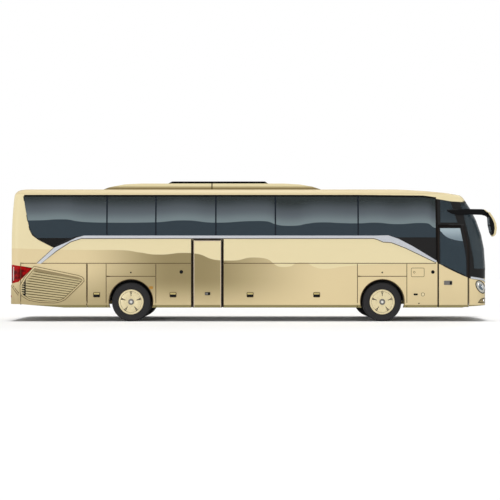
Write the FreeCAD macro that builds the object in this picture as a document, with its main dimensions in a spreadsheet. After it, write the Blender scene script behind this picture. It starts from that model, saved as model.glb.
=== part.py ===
import FreeCAD, Part
import math
import os
import re

os.makedirs("parts", exist_ok=True)

V = FreeCAD.Vector
doc = FreeCAD.newDocument("coach_bus")

# Driving dimensions in millimetres. X runs forward, Y to the left and Z up, with the ground at Z = 0
# and the origin half way between the rear bumper and the tips of the mirrors.
SIZES = [
    ("wheelbase", 6911), ("front_overhang", 3002), ("rear_overhang", 3352), ("mirror_reach", 140),
    ("body_width", 2550), ("wall", 50), ("pane", 10), ("seat_gap", 0.3), ("panel_gap", 6), ("door_gap", 14),
    ("skirt_height", 377), ("flap_top", 1590), ("trim_low", 2288), ("belt_height", 2360),
    ("glass_top", 3440), ("shoulder_height", 3425), ("shoulder_radius", 225),
    ("front_corner", 340), ("rear_corner", 230), ("front_bow", 4500), ("bumper_top", 1010), ("bumper_step", 19),
    ("front_lean_from", 1600), ("front_lean_radius", 3000), ("side_lean_from", 1587), ("side_lean_radius", 20000),
    ("rear_lean_from", 2200), ("rear_lean_radius", 13400), ("brow_run", 1690), ("skirt_tuck", 40),
    ("tyre_radius", 535), ("tyre_width", 300), ("bead_radius", 290), ("twin_pitch", 340), ("wheel_inset", 35),
    ("cover_radius", 335), ("hub_radius", 98), ("stub_radius", 45), ("arch_radius", 600), ("arch_height", 550),
    ("arch_panel", 1348), ("kingpin_offset", 40), ("kingpin_radius", 28), ("beam_height", 110), ("beam_width", 100),
    ("rear_seam", 310), ("narrow_flap", 537), ("mid_flap", 1001), ("mid_door_width", 850), ("mid_door_top", 2272),
    ("front_door_rear", 1513), ("front_door_width", 880), ("front_door_top", 2665),
    ("column_back", 60), ("column_inset", 130), ("column_radius", 22), ("column_top", 1700), ("arm_radius", 13),
    ("arm_low", 650), ("arm_high", 1460), ("first_step", 420),
    ("floor_thick", 60), ("platform_height", 1250), ("bay_floor", 415), ("rail_width", 90), ("rail_height", 200),
    ("rail_spread", 800), ("rail_base", 760), ("engine_length", 1350), ("engine_height", 790),
    ("seat_pitch", 830), ("seat_width", 940), ("seat_margin", 110), ("cushion_base", 300),
    ("pod_length", 6200), ("pod_width", 1500), ("pod_height", 190), ("strip_width", 1000), ("strip_height", 74),
    ("lid_low", 1040), ("lid_top", 2240), ("lid_width", 1900), ("tow_pin_radius", 21), ("trim_rise", 8),
    ("lamp_rim", 10), ("lamp_rebate", 48),
]

sheet = doc.addObject("Spreadsheet::Sheet", "Sizes")
for row, (alias, value) in enumerate(SIZES, start=1):
    sheet.set(f"A{row}", alias)
    sheet.set(f"B{row}", str(value))
    sheet.setAlias(f"B{row}", alias)
doc.recompute()


def size(alias):
    return float(sheet.get(alias))


# Places worked out from the driving dimensions
HALF = size("body_width") / 2
WALL = size("wall")
PANE = size("pane")
SEAT_GAP = size("seat_gap")
GAP = size("panel_gap")
DOOR_GAP = size("door_gap")
SKIRT = size("skirt_height")
FLAP_TOP = size("flap_top")
BELT = size("belt_height")
GLASS_TOP = size("glass_top")
LENGTH = size("rear_overhang") + size("wheelbase") + size("front_overhang") + size("mirror_reach")
REAR = -LENGTH / 2
REAR_AXLE = REAR + size("rear_overhang")
FRONT_AXLE = REAR_AXLE + size("wheelbase")
FRONT = FRONT_AXLE + size("front_overhang")
MIRROR_TIP = LENGTH / 2
ARCH_HALF = size("arch_panel") / 2
REAR_SEAM = REAR + size("rear_seam")
NARROW_REAR = REAR_AXLE - ARCH_HALF - size("narrow_flap")
MID_DOOR_REAR = REAR_AXLE + ARCH_HALF + size("mid_flap")
MID_DOOR_FRONT = MID_DOOR_REAR + size("mid_door_width")
MAIN_FLAP_FRONT = FRONT_AXLE - ARCH_HALF
FRONT_DOOR_REAR = FRONT_AXLE + size("front_door_rear")
FRONT_DOOR_FRONT = FRONT_DOOR_REAR + size("front_door_width")
HINGE_RADIUS = 0.6 * GAP
DECK = FLAP_TOP + size("floor_thick")
DECK_FRONT = FRONT_AXLE + 1340
PLATFORM = size("platform_height")
FIRST_STEP = size("first_step")
WELL_REAR, WELL_FRONT = MID_DOOR_REAR - 10, MID_DOOR_FRONT + 10
BULK_FRONT = FRONT_AXLE - ARCH_HALF + 6
BULK_REAR = REAR_AXLE + ARCH_HALF - 6
BULK_THICK = 40.0
SIDE_IN = HALF - WALL - SEAT_GAP
FAR = 9000.0
LOW_SLICE = SKIRT - 80
BOW_STEPS, FRONT_STEPS, REAR_STEPS = 3, 5, 4
WHEEL_SIDES, COVER_SIDES, ROUND_SIDES = 32, 24, 12
FLAT_SHARE = math.cos(math.pi / WHEEL_SIDES)
NODES = []


def add(item, label):
    """Names a finished sub-part and puts it on the list of those that are written out."""
    item.Label = label
    NODES.append(item)
    return item


def feature(label, shape):
    """A free-form sub-part, kept as a document object with its own label and place."""
    item = doc.addObject("Part::Feature", label)
    item.Shape = shape
    item.Placement = FreeCAD.Placement()
    return add(item, label)


def block(x0, x1, y0, y1, z0, z1):
    return Part.makeBox(x1 - x0, y1 - y0, z1 - z0, V(x0, y0, z0))


def side_prism(points, y0=-FAR, y1=FAR):
    """A prism across the body whose outline is drawn in the side view."""
    corners = [V(x, y0, z) for x, z in points]
    face = Part.Face(Part.makePolygon(corners + corners[:1]))
    return face.extrude(V(0, y1 - y0, 0))


def grown(points, by):
    """A side view outline made larger, or smaller where by is negative."""
    corners = [V(x, 0, z) for x, z in points]
    moved = Part.makePolygon(corners + corners[:1]).makeOffset2D(by, 2)
    return [(v.X, v.Z) for v in moved.OrderedVertexes]


def round_points(radius, x, z, low=0, high=360, steps=40):
    """Points of a circle, or a part of one, in the side view."""
    turns = [math.radians(low + (high - low) * k / steps) for k in range(steps + (high - low < 360))]
    return [(x + radius * math.cos(t), z + radius * math.sin(t)) for t in turns]


def straight_tube(points, radius, sides):
    """A many-sided bar along straight runs, its section turned half way at each bend."""
    wires = []
    for k, spot in enumerate(points):
        before = (spot - points[k - 1]).normalize() if k else V()
        after = (points[k + 1] - spot).normalize() if k + 1 < len(points) else V()
        along = (before + after).normalize()
        up = V(0, 0, 1) if abs(along.z) < 0.9 else V(1, 0, 0)
        across = along.cross(up).normalize()
        up = across.cross(along)
        turns = [2 * math.pi * (n + 0.5) / sides for n in range(sides)]
        ring = [spot + across * (radius * math.cos(t)) + up * (radius * math.sin(t)) for t in turns]
        wires.append(Part.makePolygon(ring + ring[:1]))
    return Part.makeLoft(wires, True, True)


# The body's skin, as level slices joined by straight runs


def wall_line(z):
    """Half width of the body at a height: a tuck at the skirt and a gentle lean above the flaps."""
    tuck = size("skirt_tuck") * max(0.0, (SKIRT + 140 - z) / 140) ** 2
    rise = max(0.0, z - size("side_lean_from"))
    return HALF - min(tuck, 1.5 * size("skirt_tuck")) - rise * rise / 2 / size("side_lean_radius")


def front_line(z):
    """Front of the body on its centre line: upright below, then leaning back on a large arc."""
    radius = size("front_lean_radius")
    rise = min(max(0.0, z - size("front_lean_from")), 0.95 * radius)
    chin = 60 * max(0.0, (SKIRT + 75 - z) / 75)
    return FRONT - min(chin, 80) - radius + math.sqrt(radius * radius - rise * rise)


def rear_line(z):
    """Rear of the body above its bumper, leaning forward a little at the top."""
    rise = max(0.0, z - size("rear_lean_from"))
    return REAR + size("bumper_step") + rise * rise / 2 / size("rear_lean_radius")


def skin_slices():
    """Level slices of the body as height, half width, front, rear and the slope of the shoulder there."""
    low, step = size("bumper_top"), size("bumper_step")
    top = size("shoulder_height")
    rows = []
    for z in (SKIRT, SKIRT + 75, SKIRT + 140, low - 8):
        rows.append((z, wall_line(z), front_line(z), rear_line(z) - step, 0.0))
    for z in (low, size("side_lean_from"), 2000, 2400, 2800, 3120, top):
        rows.append((z, wall_line(z), front_line(z), rear_line(z), 0.0))
    for slope in (15, 33, 52, 70, 84):
        s, c = math.sin(math.radians(slope)), math.cos(math.radians(slope))
        z = top + size("shoulder_radius") * s
        inset = size("shoulder_radius") * (1 - c)
        brow = size("brow_run") * s ** 2.3
        rows.append((z, wall_line(top) - inset, front_line(top) - brow, rear_line(top) + inset, slope))
    return rows


ROOF_FLAT, FLAT_SIDE, FLAT_FRONT = skin_slices()[-1][:3]


def slice_wire(z, w, front, rear, slope, inset):
    """One slice as a closed line: bowed front, rounded corners, straight sides and rear, set inward by inset."""
    a = math.radians(slope)
    flat, drop = inset * math.cos(a), inset * math.sin(a)
    w, front, rear, z = w - flat, front - flat, rear + flat, z - drop
    rf, rr, bow = size("front_corner") - flat, size("rear_corner") - flat, size("front_bow") - flat
    reach = math.asin((w - rf) / (bow - rf))
    corner_x, corner_y = front - bow + (bow - rf) * math.cos(reach), w - rf
    turns = [reach * k / BOW_STEPS for k in range(-BOW_STEPS, BOW_STEPS + 1)]
    nose = [(front - bow + bow * math.cos(t), bow * math.sin(t)) for t in turns]
    turns = [reach + (math.pi / 2 - reach) * k / FRONT_STEPS for k in range(1, FRONT_STEPS + 1)]
    side = [(corner_x + rf * math.cos(t), corner_y + rf * math.sin(t)) for t in turns]
    turns = [math.pi / 2 * (1 + k / REAR_STEPS) for k in range(REAR_STEPS + 1)]
    side += [(rear + rr + rr * math.cos(t), w - rr + rr * math.sin(t)) for t in turns]
    corners = [V(x, y, z) for x, y in nose + side + [(x, -y) for x, y in reversed(side)]]
    return Part.makePolygon(corners + corners[:1])


def skin(inset, low=SKIRT):
    """The closed body shape, its skin moved inward by inset, down to a level."""
    rows = skin_slices()
    if low < SKIRT:
        rows[0] = (low,) + rows[0][1:]
    return Part.makeLoft([slice_wire(*row, inset) for row in rows], True, True)


OUTER = skin(0)
front_wedge = side_prism([(FRONT - 810, SKIRT - 300), (FRONT - 810, SKIRT), (FRONT - 609, SKIRT + 35),
                          (FRONT - 205, SKIRT + 60), (FAR, SKIRT + 60), (FAR, SKIRT - 300)])
rear_wedge = side_prism([(REAR + 1510, SKIRT - 300), (REAR + 1510, SKIRT), (REAR + 317, SKIRT + 95),
                         (-FAR, SKIRT + 120), (-FAR, SKIRT - 300)])
SHELL = OUTER.cut([skin(WALL, LOW_SLICE), front_wedge, rear_wedge])
GLASS_LAYER = OUTER.cut(skin(PANE, LOW_SLICE))
LEDGE_LAYER = OUTER.cut(skin(PANE + SEAT_GAP, LOW_SLICE))
CABIN = skin(WALL + SEAT_GAP)


def window(points, y0, y1, ledge=35):
    """A flush pane with the two cuts that seat it: the rebate for the glass and the clear hole behind."""
    pane = GLASS_LAYER.common(side_prism(points, y0, y1))
    rebate = LEDGE_LAYER.common(side_prism(grown(points, 3), y0, y1))
    hole = side_prism(grown(points, -ledge), y0, y1)
    return pane, rebate, hole


# Window outlines in the side view, from the belt up to the cant rail
PILLARS = [REAR_AXLE - 666, REAR_AXLE + 680, REAR_AXLE + 2332, REAR_AXLE + 3972, FRONT_AXLE - 661]
PILLAR_HALF = 8
LAST_PANE = FRONT_DOOR_REAR - 28
TAIL_PANE = [(REAR + 382, GLASS_TOP), (REAR + 434, 3121), (REAR + 525, 2673), (REAR + 600, 2464),
             (REAR + 734, 2316), (REAR + 943, 2194), (REAR + 1239, 2048), (REAR + 1535, 2225),
             (REAR + 1835, 2340), (PILLARS[0] - PILLAR_HALF, BELT), (PILLARS[0] - PILLAR_HALF, GLASS_TOP)]
FRONT_PANE = [(PILLARS[-1] + PILLAR_HALF, BELT), (PILLARS[-1] + PILLAR_HALF, GLASS_TOP),
              (LAST_PANE - 310, GLASS_TOP - 20), (LAST_PANE, GLASS_TOP - 70), (LAST_PANE, BELT - 50),
              (FRONT_AXLE + 340, BELT - 50), (FRONT_AXLE - 60, BELT)]
QUARTER_PANE = [(FRONT_DOOR_REAR + 91, 3345), (FRONT - 1117, 3300), (FRONT - 930, 2720),
                (FRONT_DOOR_REAR + 91, 2720)]
DRIVER_PANE = [(FRONT_DOOR_REAR + 91, 3345), (FRONT - 1117, 3300), (FRONT - 922, 2650), (FRONT - 782, 2208),
               (FRONT - 712, 1878), (FRONT - 688, 1521), (FRONT_DOOR_REAR + 91, 1582)]
WINDSCREEN = [(FRONT - 846, 3290), (FRONT - 750, 2893), (FRONT - 596, 2230), (FRONT - 502, 1757),
              (FRONT - 475, 1449), (FAR, 1449), (FAR, 3290)]
DOOR_PANE = [(FRONT_DOOR_REAR + 81, 2610), (FRONT - 868, 2610), (FRONT - 785, 2208), (FRONT - 713, 1876),
             (FRONT - 691, 1521), (FRONT - 694, 1240), (FRONT_DOOR_REAR + 81, 1582)]
REAR_PANE = (-FAR, REAR + 200, -1020, 1020, 2420, 3330)


def side_panes():
    outlines = [TAIL_PANE]
    for left, right in zip(PILLARS, PILLARS[1:]):
        x0, x1 = left + PILLAR_HALF, right - PILLAR_HALF
        outlines.append([(x0, BELT), (x0, GLASS_TOP), (x1, GLASS_TOP), (x1, BELT)])
    return outlines + [FRONT_PANE]


panes, wall_cuts = [], []
for outlines, y0, y1 in ((side_panes() + [QUARTER_PANE], -FAR, 0), (side_panes() + [DRIVER_PANE], 0, FAR)):
    for outline in outlines:
        pane, rebate, hole = window(outline, y0, y1)
        panes.append(pane)
        wall_cuts += [rebate, hole]
screen_cuts = [LEDGE_LAYER.common(side_prism(grown(WINDSCREEN, 3))), side_prism(grown(WINDSCREEN, -45))]
x0, x1, y0, y1, z0, z1 = REAR_PANE
panes.append(GLASS_LAYER.common(block(*REAR_PANE)))
rear_cuts = [LEDGE_LAYER.common(block(x0, x1, y0 - 3, y1 + 3, z0 - 3, z1 + 3)),
             block(x0, x1, y0 + 40, y1 - 40, z0 + 40, z1 - 40)]
feature("windscreen", GLASS_LAYER.common(side_prism(WINDSCREEN)))
feature("windows", Part.makeCompound(panes))

# Upper body: roof, walls, front and rear, split where the panels meet
above = block(-FAR, FAR, -FAR, FAR, GLASS_TOP + 12, FAR)
front_zone = block(FRONT_DOOR_FRONT, FAR, -FAR, FAR, -FAR, FAR)
rear_zone = block(-FAR, REAR_SEAM, -FAR, FAR, -FAR, FAR)
low_zone = block(-FAR, FAR, -FAR, FAR, -FAR, FLAP_TOP)
right_half = block(-FAR, FAR, -FAR, 0, -FAR, FAR)
left_half = block(-FAR, FAR, 0, FAR, -FAR, FAR)
mid_way = block(MID_DOOR_REAR, MID_DOOR_FRONT, -FAR, 0, -FAR, size("mid_door_top"))
corner_post = side_prism([(x - 50, z) for x, z in WINDSCREEN])
front_way = block(FRONT_DOOR_REAR, FRONT_DOOR_FRONT, -FAR, 0, -FAR, size("front_door_top")).cut(corner_post)
below = SHELL.cut([above] + screen_cuts)
front_skin = below.common(front_zone)
rear_skin = below.common(rear_zone)
middle = below.cut([front_zone, rear_zone] + wall_cuts)
low_skin = middle.common(low_zone)
high_skin = middle.cut(low_zone)
feature("side_wall_right", high_skin.common(right_half).cut([mid_way, front_way]))
feature("side_wall_left", high_skin.common(left_half))


def roof_panel():
    """A flat middle with a rounded side piece along each edge, and the same three at the rear and in the brow."""
    sheets = []
    for x0, x1 in ((-FAR, REAR + 600), (REAR + 600, FLAT_FRONT), (FLAT_FRONT, FAR)):
        for y0, y1 in ((-FAR, 40 - FLAT_SIDE), (40 - FLAT_SIDE, FLAT_SIDE - 40), (FLAT_SIDE - 40, FAR)):
            zone = block(x0 + SEAT_GAP, x1, y0 + SEAT_GAP, y1, -FAR, FAR)
            sheets += SHELL.common(above).common(zone).Solids
    return feature("roof_panel", Part.makeCompound(sheets))


roof_panel()


def lower_panels():
    """The fixed panels over the wheel arches and between the front wheels and the doors."""
    shapes = []
    for axle in (REAR_AXLE, FRONT_AXLE):
        zone = block(axle - ARCH_HALF, axle + ARCH_HALF, -FAR, FAR, -FAR, FAR)
        hole = side_prism(round_points(size("arch_radius"), axle, size("arch_height")))
        shapes.append(low_skin.common(zone).cut(hole))
    for x1, y0, y1 in ((FRONT_DOOR_REAR, -FAR, 0), (FRONT_DOOR_FRONT, 0, FAR)):
        shapes.append(low_skin.common(block(FRONT_AXLE + ARCH_HALF, x1, y0, y1, -FAR, FAR)))
    return Part.makeCompound([solid for shape in shapes for solid in shape.Solids])


feature("lower_side_panels", lower_panels())

# Tail lamps, which reach past the seam of the rear flaps
TAIL_LAMP = [(-FAR, 1556), (REAR + 105, 1556), (REAR + 640, 1468), (REAR + 255, 1084), (REAR + 95, 1048),
             (-FAR, 1048)]
tail_zone = side_prism(TAIL_LAMP, -FAR, -1010).fuse(side_prism(TAIL_LAMP, 1010, FAR))
tail_gap = side_prism(grown(TAIL_LAMP, GAP), -FAR, -1000).fuse(side_prism(grown(TAIL_LAMP, GAP), 1000, FAR))
feature("tail_lamps", rear_skin.fuse(low_skin).common(tail_zone))

# Behind a thin rim the rear flaps are cut back round the lamps, so that they pass them as they lift
rim_depth = HALF - size("lamp_rim")
tail_rebate = side_prism(grown(TAIL_LAMP, size("lamp_rebate")), -rim_depth, rim_depth)

# Flaps, cut from the same skin with a running gap, each hung on a round bead along its top edge
FLAPS = {
    "right": [("rear", REAR_SEAM, NARROW_REAR), ("narrow", NARROW_REAR, REAR_AXLE - ARCH_HALF),
              ("mid", REAR_AXLE + ARCH_HALF, MID_DOOR_REAR), ("main", MID_DOOR_FRONT, MAIN_FLAP_FRONT)],
    "left": [("rear", REAR_SEAM, REAR_AXLE - ARCH_HALF), ("mid", REAR_AXLE + ARCH_HALF, MID_DOOR_FRONT),
             ("main", MID_DOOR_FRONT, MAIN_FLAP_FRONT)],
}


def flap(side, name, x0, x1):
    y0, y1, edge = (-FAR, 0, -HALF) if side == "right" else (0, FAR, HALF)
    leaf = low_skin.common(block(x0 + GAP, x1 - GAP, y0, y1, -FAR, FLAP_TOP - GAP)).cut([tail_gap, tail_rebate])
    start = V(x0 + GAP, edge, FLAP_TOP - SEAT_GAP - HINGE_RADIUS)
    bead = Part.makeCylinder(HINGE_RADIUS, x1 - x0 - 2 * GAP, start, V(1, 0, 0))
    return feature(f"flap_{side}_{name}", leaf.fuse(bead))


for side, rows in FLAPS.items():
    for name, x0, x1 in rows:
        flap(side, name, x0, x1)

# Lamps set flush in the front corners, and the panel round them
HEAD_LAMP = [(FRONT - 572, 1226), (FRONT - 475, 1189), (FAR, 1120), (FAR, 765), (FRONT - 237, 774),
             (FRONT - 284, 792), (FRONT - 380, 883), (FRONT - 463, 1048)]
head_zone = side_prism(HEAD_LAMP, -FAR, -760).fuse(side_prism(HEAD_LAMP, 760, FAR))
feature("headlamps", front_skin.common(head_zone))
feature("front_panel", front_skin.cut(head_zone))


def engine_lid():
    """The lid over the engine, hung on a bead along its top."""
    half, low, top = size("lid_width") / 2, size("lid_low"), size("lid_top")
    lid = rear_skin.common(block(-FAR, REAR + 200, -half, half, low, top))
    start = V(REAR + size("bumper_step"), -half, top + GAP - SEAT_GAP - HINGE_RADIUS)
    return feature("engine_lid", lid.fuse(Part.makeCylinder(HINGE_RADIUS, 2 * half, start, V(0, 1, 0))))


engine_lid()
lid_gap = block(-FAR, REAR + 200, -size("lid_width") / 2 - GAP, size("lid_width") / 2 + GAP,
                size("lid_low") - GAP, size("lid_top") + GAP)
feature("rear_panel", rear_skin.cut([tail_zone, lid_gap] + rear_cuts))

# Formulas of the places, for the sub-parts whose sizes are bound to the sheet
ALIASES = sorted((alias for alias, value in SIZES), key=len, reverse=True)
REAR_X = "(-(rear_overhang + wheelbase + front_overhang + mirror_reach) / 2)"
FRONT_X = "((rear_overhang + wheelbase + front_overhang - mirror_reach) / 2)"
REAR_AXLE_X = "((rear_overhang - wheelbase - front_overhang - mirror_reach) / 2)"
FRONT_AXLE_X = "((rear_overhang + wheelbase - front_overhang - mirror_reach) / 2)"
TRACK_Y = "(body_width / 2 - wheel_inset - tyre_width / 2)"
KINGPIN_Y = "(body_width / 2 - wheel_inset - tyre_width / 2 - kingpin_offset)"
FACE = "(tyre_width / 2)"
BULK_FRONT_X = f"({FRONT_AXLE_X} - arch_panel / 2 + 46)"
BULK_REAR_X = f"({REAR_AXLE_X} + arch_panel / 2 - 46)"
FRAME_FRONT_X = f"({FRONT_X} - wall - 60)"


def bound(formula):
    """A formula of size names written for the document, where each name is a cell of the sheet."""
    names = "|".join(ALIASES)
    return re.sub(rf"\b({names})\b", r"Sizes.\1", str(formula))


def place(item, x, y, z):
    for axis, formula in zip("xyz", (x, y, z)):
        item.setExpression(f"Placement.Base.{axis}", bound(formula))


ALONG_Y = FreeCAD.Rotation(V(1, 0, 0), -90)


def rod(radius, length, x, y, z, along="z", sides=0):
    """A bar that starts at a point and runs up or to the left, round or with a number of flat sides."""
    item = doc.addObject("Part::Prism" if sides else "Part::Cylinder", "rod")
    item.setExpression("Circumradius" if sides else "Radius", bound(radius))
    item.setExpression("Height", bound(length))
    if sides:
        item.Polygon = sides
    item.Placement = FreeCAD.Placement(V(), ALONG_Y if along == "y" else FreeCAD.Rotation())
    place(item, x, y, z)
    return item


def brick(length, width, height, x, y, z):
    """A square block with its lowest corner at a point."""
    item = doc.addObject("Part::Box", "brick")
    for name, formula in (("Length", length), ("Width", width), ("Height", height)):
        item.setExpression(name, bound(formula))
    place(item, x, y, z)
    return item


def joined(items):
    item = doc.addObject("Part::MultiFuse", "joined")
    item.Shapes = items
    return item


def less(base, tool):
    item = doc.addObject("Part::Cut", "less")
    item.Base = base
    item.Tool = tool
    return item


def ring_body(rows, x, y, sides):
    """A body of flat faces between rings of given place along Y and radius; its lowest side is level."""
    turns = [2 * math.pi * (k + 0.5) / sides for k in range(sides)]
    rings = [[V(x + r * math.cos(t), y + a, size("tyre_radius") + r * math.sin(t)) for t in turns] for a, r in rows]
    faces = []
    for ring, following in zip(rings, rings[1:] + rings[:1]):
        for k in range(sides):
            corners = [ring[k], ring[k - 1], following[k - 1], following[k]]
            faces.append(Part.Face(Part.makePolygon(corners + corners[:1])))
    return Part.Solid(Part.Shell(faces))


def tyre(x, y):
    """A flat tread with rounded shoulders, and sidewalls that narrow to the bead."""
    half, bead, shoulder = size("tyre_width") / 2, size("bead_radius"), size("tyre_radius") - 70
    tread = size("tyre_radius") / FLAT_SHARE
    right = [(25 - half, bead), (25 - half, bead + 8), (-half, shoulder), (28 - half, tread)]
    return ring_body(right + [(-a, r) for a, r in reversed(right)], x, y, WHEEL_SIDES)


def drum(side, radius, near, far, x, y, sides=WHEEL_SIDES):
    """A disc or tube round a wheel's axis, from near to far on the side that faces out."""
    start = near if side > 0 else f"-({far})"
    return rod(radius, f"({far}) - ({near})", x, f"{y} + ({start})", "tyre_radius", "y", sides)


def cover_slots(side, x, y):
    """Five dark slots between the petals of the cover."""
    tools = []
    for k in range(5):
        turn = 2 * math.pi * k / 5
        s, c = math.sin(turn), math.cos(turn)
        slot = brick("26", "tyre_width", "bead_radius - 40 - hub_radius - 46", x, y, "0")
        slot.Placement = FreeCAD.Placement(V(), FreeCAD.Rotation(V(0, 1, 0), math.degrees(turn)))
        place(slot, f"{x} + (-13 * {c:.6f}) + (hub_radius + 46) * ({s:.6f})",
              y if side > 0 else f"{y} - tyre_width",
              f"tyre_radius + (13 * {s:.6f}) + (hub_radius + 46) * ({c:.6f})")
        tools.append(slot)
    return tools


def wheel(label, side, inner_end, x, y):
    """Barrel, domed cover and hub of a wheel, the cover on the side that faces out."""
    barrel = drum(side, f"bead_radius * {FLAT_SHARE:.5f} - seat_gap", f"-({inner_end})", f"{FACE} - 14", x, y)
    lip = drum(side, "cover_radius", f"{FACE} - 14", f"{FACE} - 4", x, y, COVER_SIDES)
    dome = drum(side, "cover_radius - 60", f"{FACE} - 14", f"{FACE} + 4", x, y, COVER_SIDES)
    cap = drum(side, "hub_radius - 30", f"{FACE} - 14", f"{FACE} + 10", x, y, ROUND_SIDES)
    cavity = drum(side, "bead_radius - 22", f"-({inner_end}) - 1", f"{FACE} - 52", x, y, COVER_SIDES)
    hub = drum(side, "hub_radius", f"{FACE} - 95", f"{FACE} - 50", x, y, ROUND_SIDES)
    bore = drum(side, "stub_radius + seat_gap", f"{FACE} - 100", f"{FACE} - 44", x, y, 0)
    shell = less(joined([barrel, lip, dome, cap]), joined([cavity] + cover_slots(side, x, y)))
    return add(less(joined([shell, hub]), bore), label)


TRACK = HALF - size("wheel_inset") - size("tyre_width") / 2
for side, name in ((1, "left"), (-1, "right")):
    track = f"{side} * {TRACK_Y}"
    feature(f"tyre_front_{name}", tyre(FRONT_AXLE, side * TRACK))
    wheel(f"wheel_front_{name}", side, "tyre_width / 2 - 25", FRONT_AXLE_X, track)
    twins = [tyre(REAR_AXLE, side * y) for y in (TRACK, TRACK - size("twin_pitch"))]
    feature(f"tyres_rear_{name}", Part.makeCompound(twins))
    wheel(f"wheels_rear_{name}", side, "tyre_width / 2 - 25 + twin_pitch", REAR_AXLE_X, track)


def knuckle(side, name):
    """A steered fork round the end of the beam, a stub for the hub and an arm for the track rod."""
    x, y, z = FRONT_AXLE_X, f"{side} * {KINGPIN_Y}", "tyre_radius"
    levels = ("beam_height / 2 + 2", "(-beam_height / 2 - 42)")
    pieces = [rod("kingpin_radius + 24", "40", x, y, f"{z} + {h}", "z", ROUND_SIDES) for h in levels]
    pieces += [brick("80", "60", "40", f"{x} - 40", f"{y} + ({side}) * 50 - 30", f"{z} + {h}") for h in levels]
    arm_z = f"{z} - beam_height / 2 - 42"
    pieces.append(brick("110", "26", "beam_height + 84", f"{x} - 55", f"{y} + ({side}) * 69 - 13", arm_z))
    stub_y = f"{y} + 70" if side > 0 else f"{y} - kingpin_offset - tyre_width / 2 + 46"
    pieces.append(rod("stub_radius", "kingpin_offset + tyre_width / 2 - 116", x, stub_y, z, "y"))
    pieces.append(brick("50", "170", "30", f"{x} - 25", f"{y} - 170" if side > 0 else y, arm_z))
    pieces.append(brick("230", "50", "30", f"{x} - 205", f"{y} - 195" if side > 0 else f"{y} + 145", arm_z))
    pieces.append(rod("12", "36", f"{x} - 180", f"{y} - ({side}) * 170", f"{z} - beam_height / 2 - 78"))
    bore = rod("kingpin_radius + seat_gap", "beam_height + 120", x, y, f"{z} - beam_height / 2 - 60")
    add(less(joined(pieces), bore), f"knuckle_{name}")


def track_rod():
    """The bar from an eye round the left arm's pin to just short of the right arm."""
    x, z = f"{FRONT_AXLE_X} - 180", "tyre_radius - beam_height / 2 - 76"
    eye_y = f"({KINGPIN_Y} - 170)"
    eye = rod("26", "30", x, eye_y, z, "z", ROUND_SIDES)
    bar = rod("13", f"2 * {KINGPIN_Y} - 425", x, f"235 - {KINGPIN_Y}", f"{z} + 15", "y", 8)
    add(less(joined([eye, bar]), rod("12 + seat_gap", "60", x, eye_y, f"{z} - 15")), "track_rod")


def front_axle():
    """The beam, round eyes with their kingpins, and the two air springs that carry the body."""
    x, z = FRONT_AXLE_X, "tyre_radius"
    pieces = [brick("beam_width", f"2 * {KINGPIN_Y}", "beam_height - 10", f"{x} - beam_width / 2", f"-{KINGPIN_Y}",
                    f"{z} - beam_height / 2 + 5")]
    for side in (1, -1):
        pin_y, spring_y = f"({side}) * {KINGPIN_Y}", f"({side}) * rail_spread / 2"
        pieces.append(rod("50", "beam_height", x, pin_y, f"{z} - beam_height / 2", "z", ROUND_SIDES))
        pieces.append(rod("kingpin_radius", "beam_height + 84", x, pin_y, f"{z} - beam_height / 2 - 42"))
        pieces.append(rod("110", "rail_base - seat_gap - tyre_radius - beam_height / 2 + 10", x, spring_y,
                          f"{z} + beam_height / 2 - 10", "z", ROUND_SIDES))
    add(joined(pieces), "front_axle")


def rear_axle():
    """The banjo housing with a spindle at each end for the twin wheels, and its air springs."""
    root, tip = f"({TRACK_Y} + tyre_width / 2 - 135)", f"({TRACK_Y} + tyre_width / 2 - 45)"
    pieces = [rod("200", "200", REAR_AXLE_X, "-100", "tyre_radius", "y", ROUND_SIDES),
              rod("140", "280", REAR_AXLE_X, "-140", "tyre_radius", "y", ROUND_SIDES),
              rod("75", f"2 * {root}", REAR_AXLE_X, f"-{root}", "tyre_radius", "y", ROUND_SIDES),
              rod("stub_radius", f"2 * {tip}", REAR_AXLE_X, f"-{tip}", "tyre_radius", "y")]
    for side in (1, -1):
        pieces.append(rod("110", "rail_base - seat_gap - tyre_radius - 40", REAR_AXLE_X,
                          f"({side}) * rail_spread / 2", "tyre_radius + 40", "z", ROUND_SIDES))
    add(joined(pieces), "rear_axle")


def underframe():
    """A front and a rear frame, each two rails with cross members, bearers for the engine and jacking pads."""
    bars = []
    for side in (1, -1):
        y = f"({side}) * rail_spread / 2 - rail_width / 2"
        for x, length in ((BULK_FRONT_X, f"{FRAME_FRONT_X} - {BULK_FRONT_X}"),
                          (f"{REAR_X} + 150", f"{BULK_REAR_X} - {REAR_X} - 150")):
            bars.append(brick(length, "rail_width", "rail_height", x, y, "rail_base"))
        for x in (f"{FRONT_AXLE_X} + 840", f"{REAR_AXLE_X} - 960"):
            bars.append(brick("120", "rail_width", "20", x, y, "rail_base - 20"))
    cross = "(rail_spread - rail_width + 20)"
    for x in (f"{BULK_FRONT_X} + 40", f"{FRONT_AXLE_X} + 700", f"{FRAME_FRONT_X} - 100", f"{BULK_REAR_X} - 140",
              f"{REAR_AXLE_X} - 700", f"{REAR_X} + 250"):
        bars.append(brick("100", cross, "rail_height - 60", x, f"-{cross} / 2", "rail_base + 30"))
    for x in (f"{REAR_X} + 500", f"{REAR_X} + 300 + engine_length"):
        bars.append(brick("100", "rail_spread + rail_width", "80", x, "-(rail_spread + rail_width) / 2",
                          "rail_base - 80"))
    add(joined(bars), "underframe")


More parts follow.
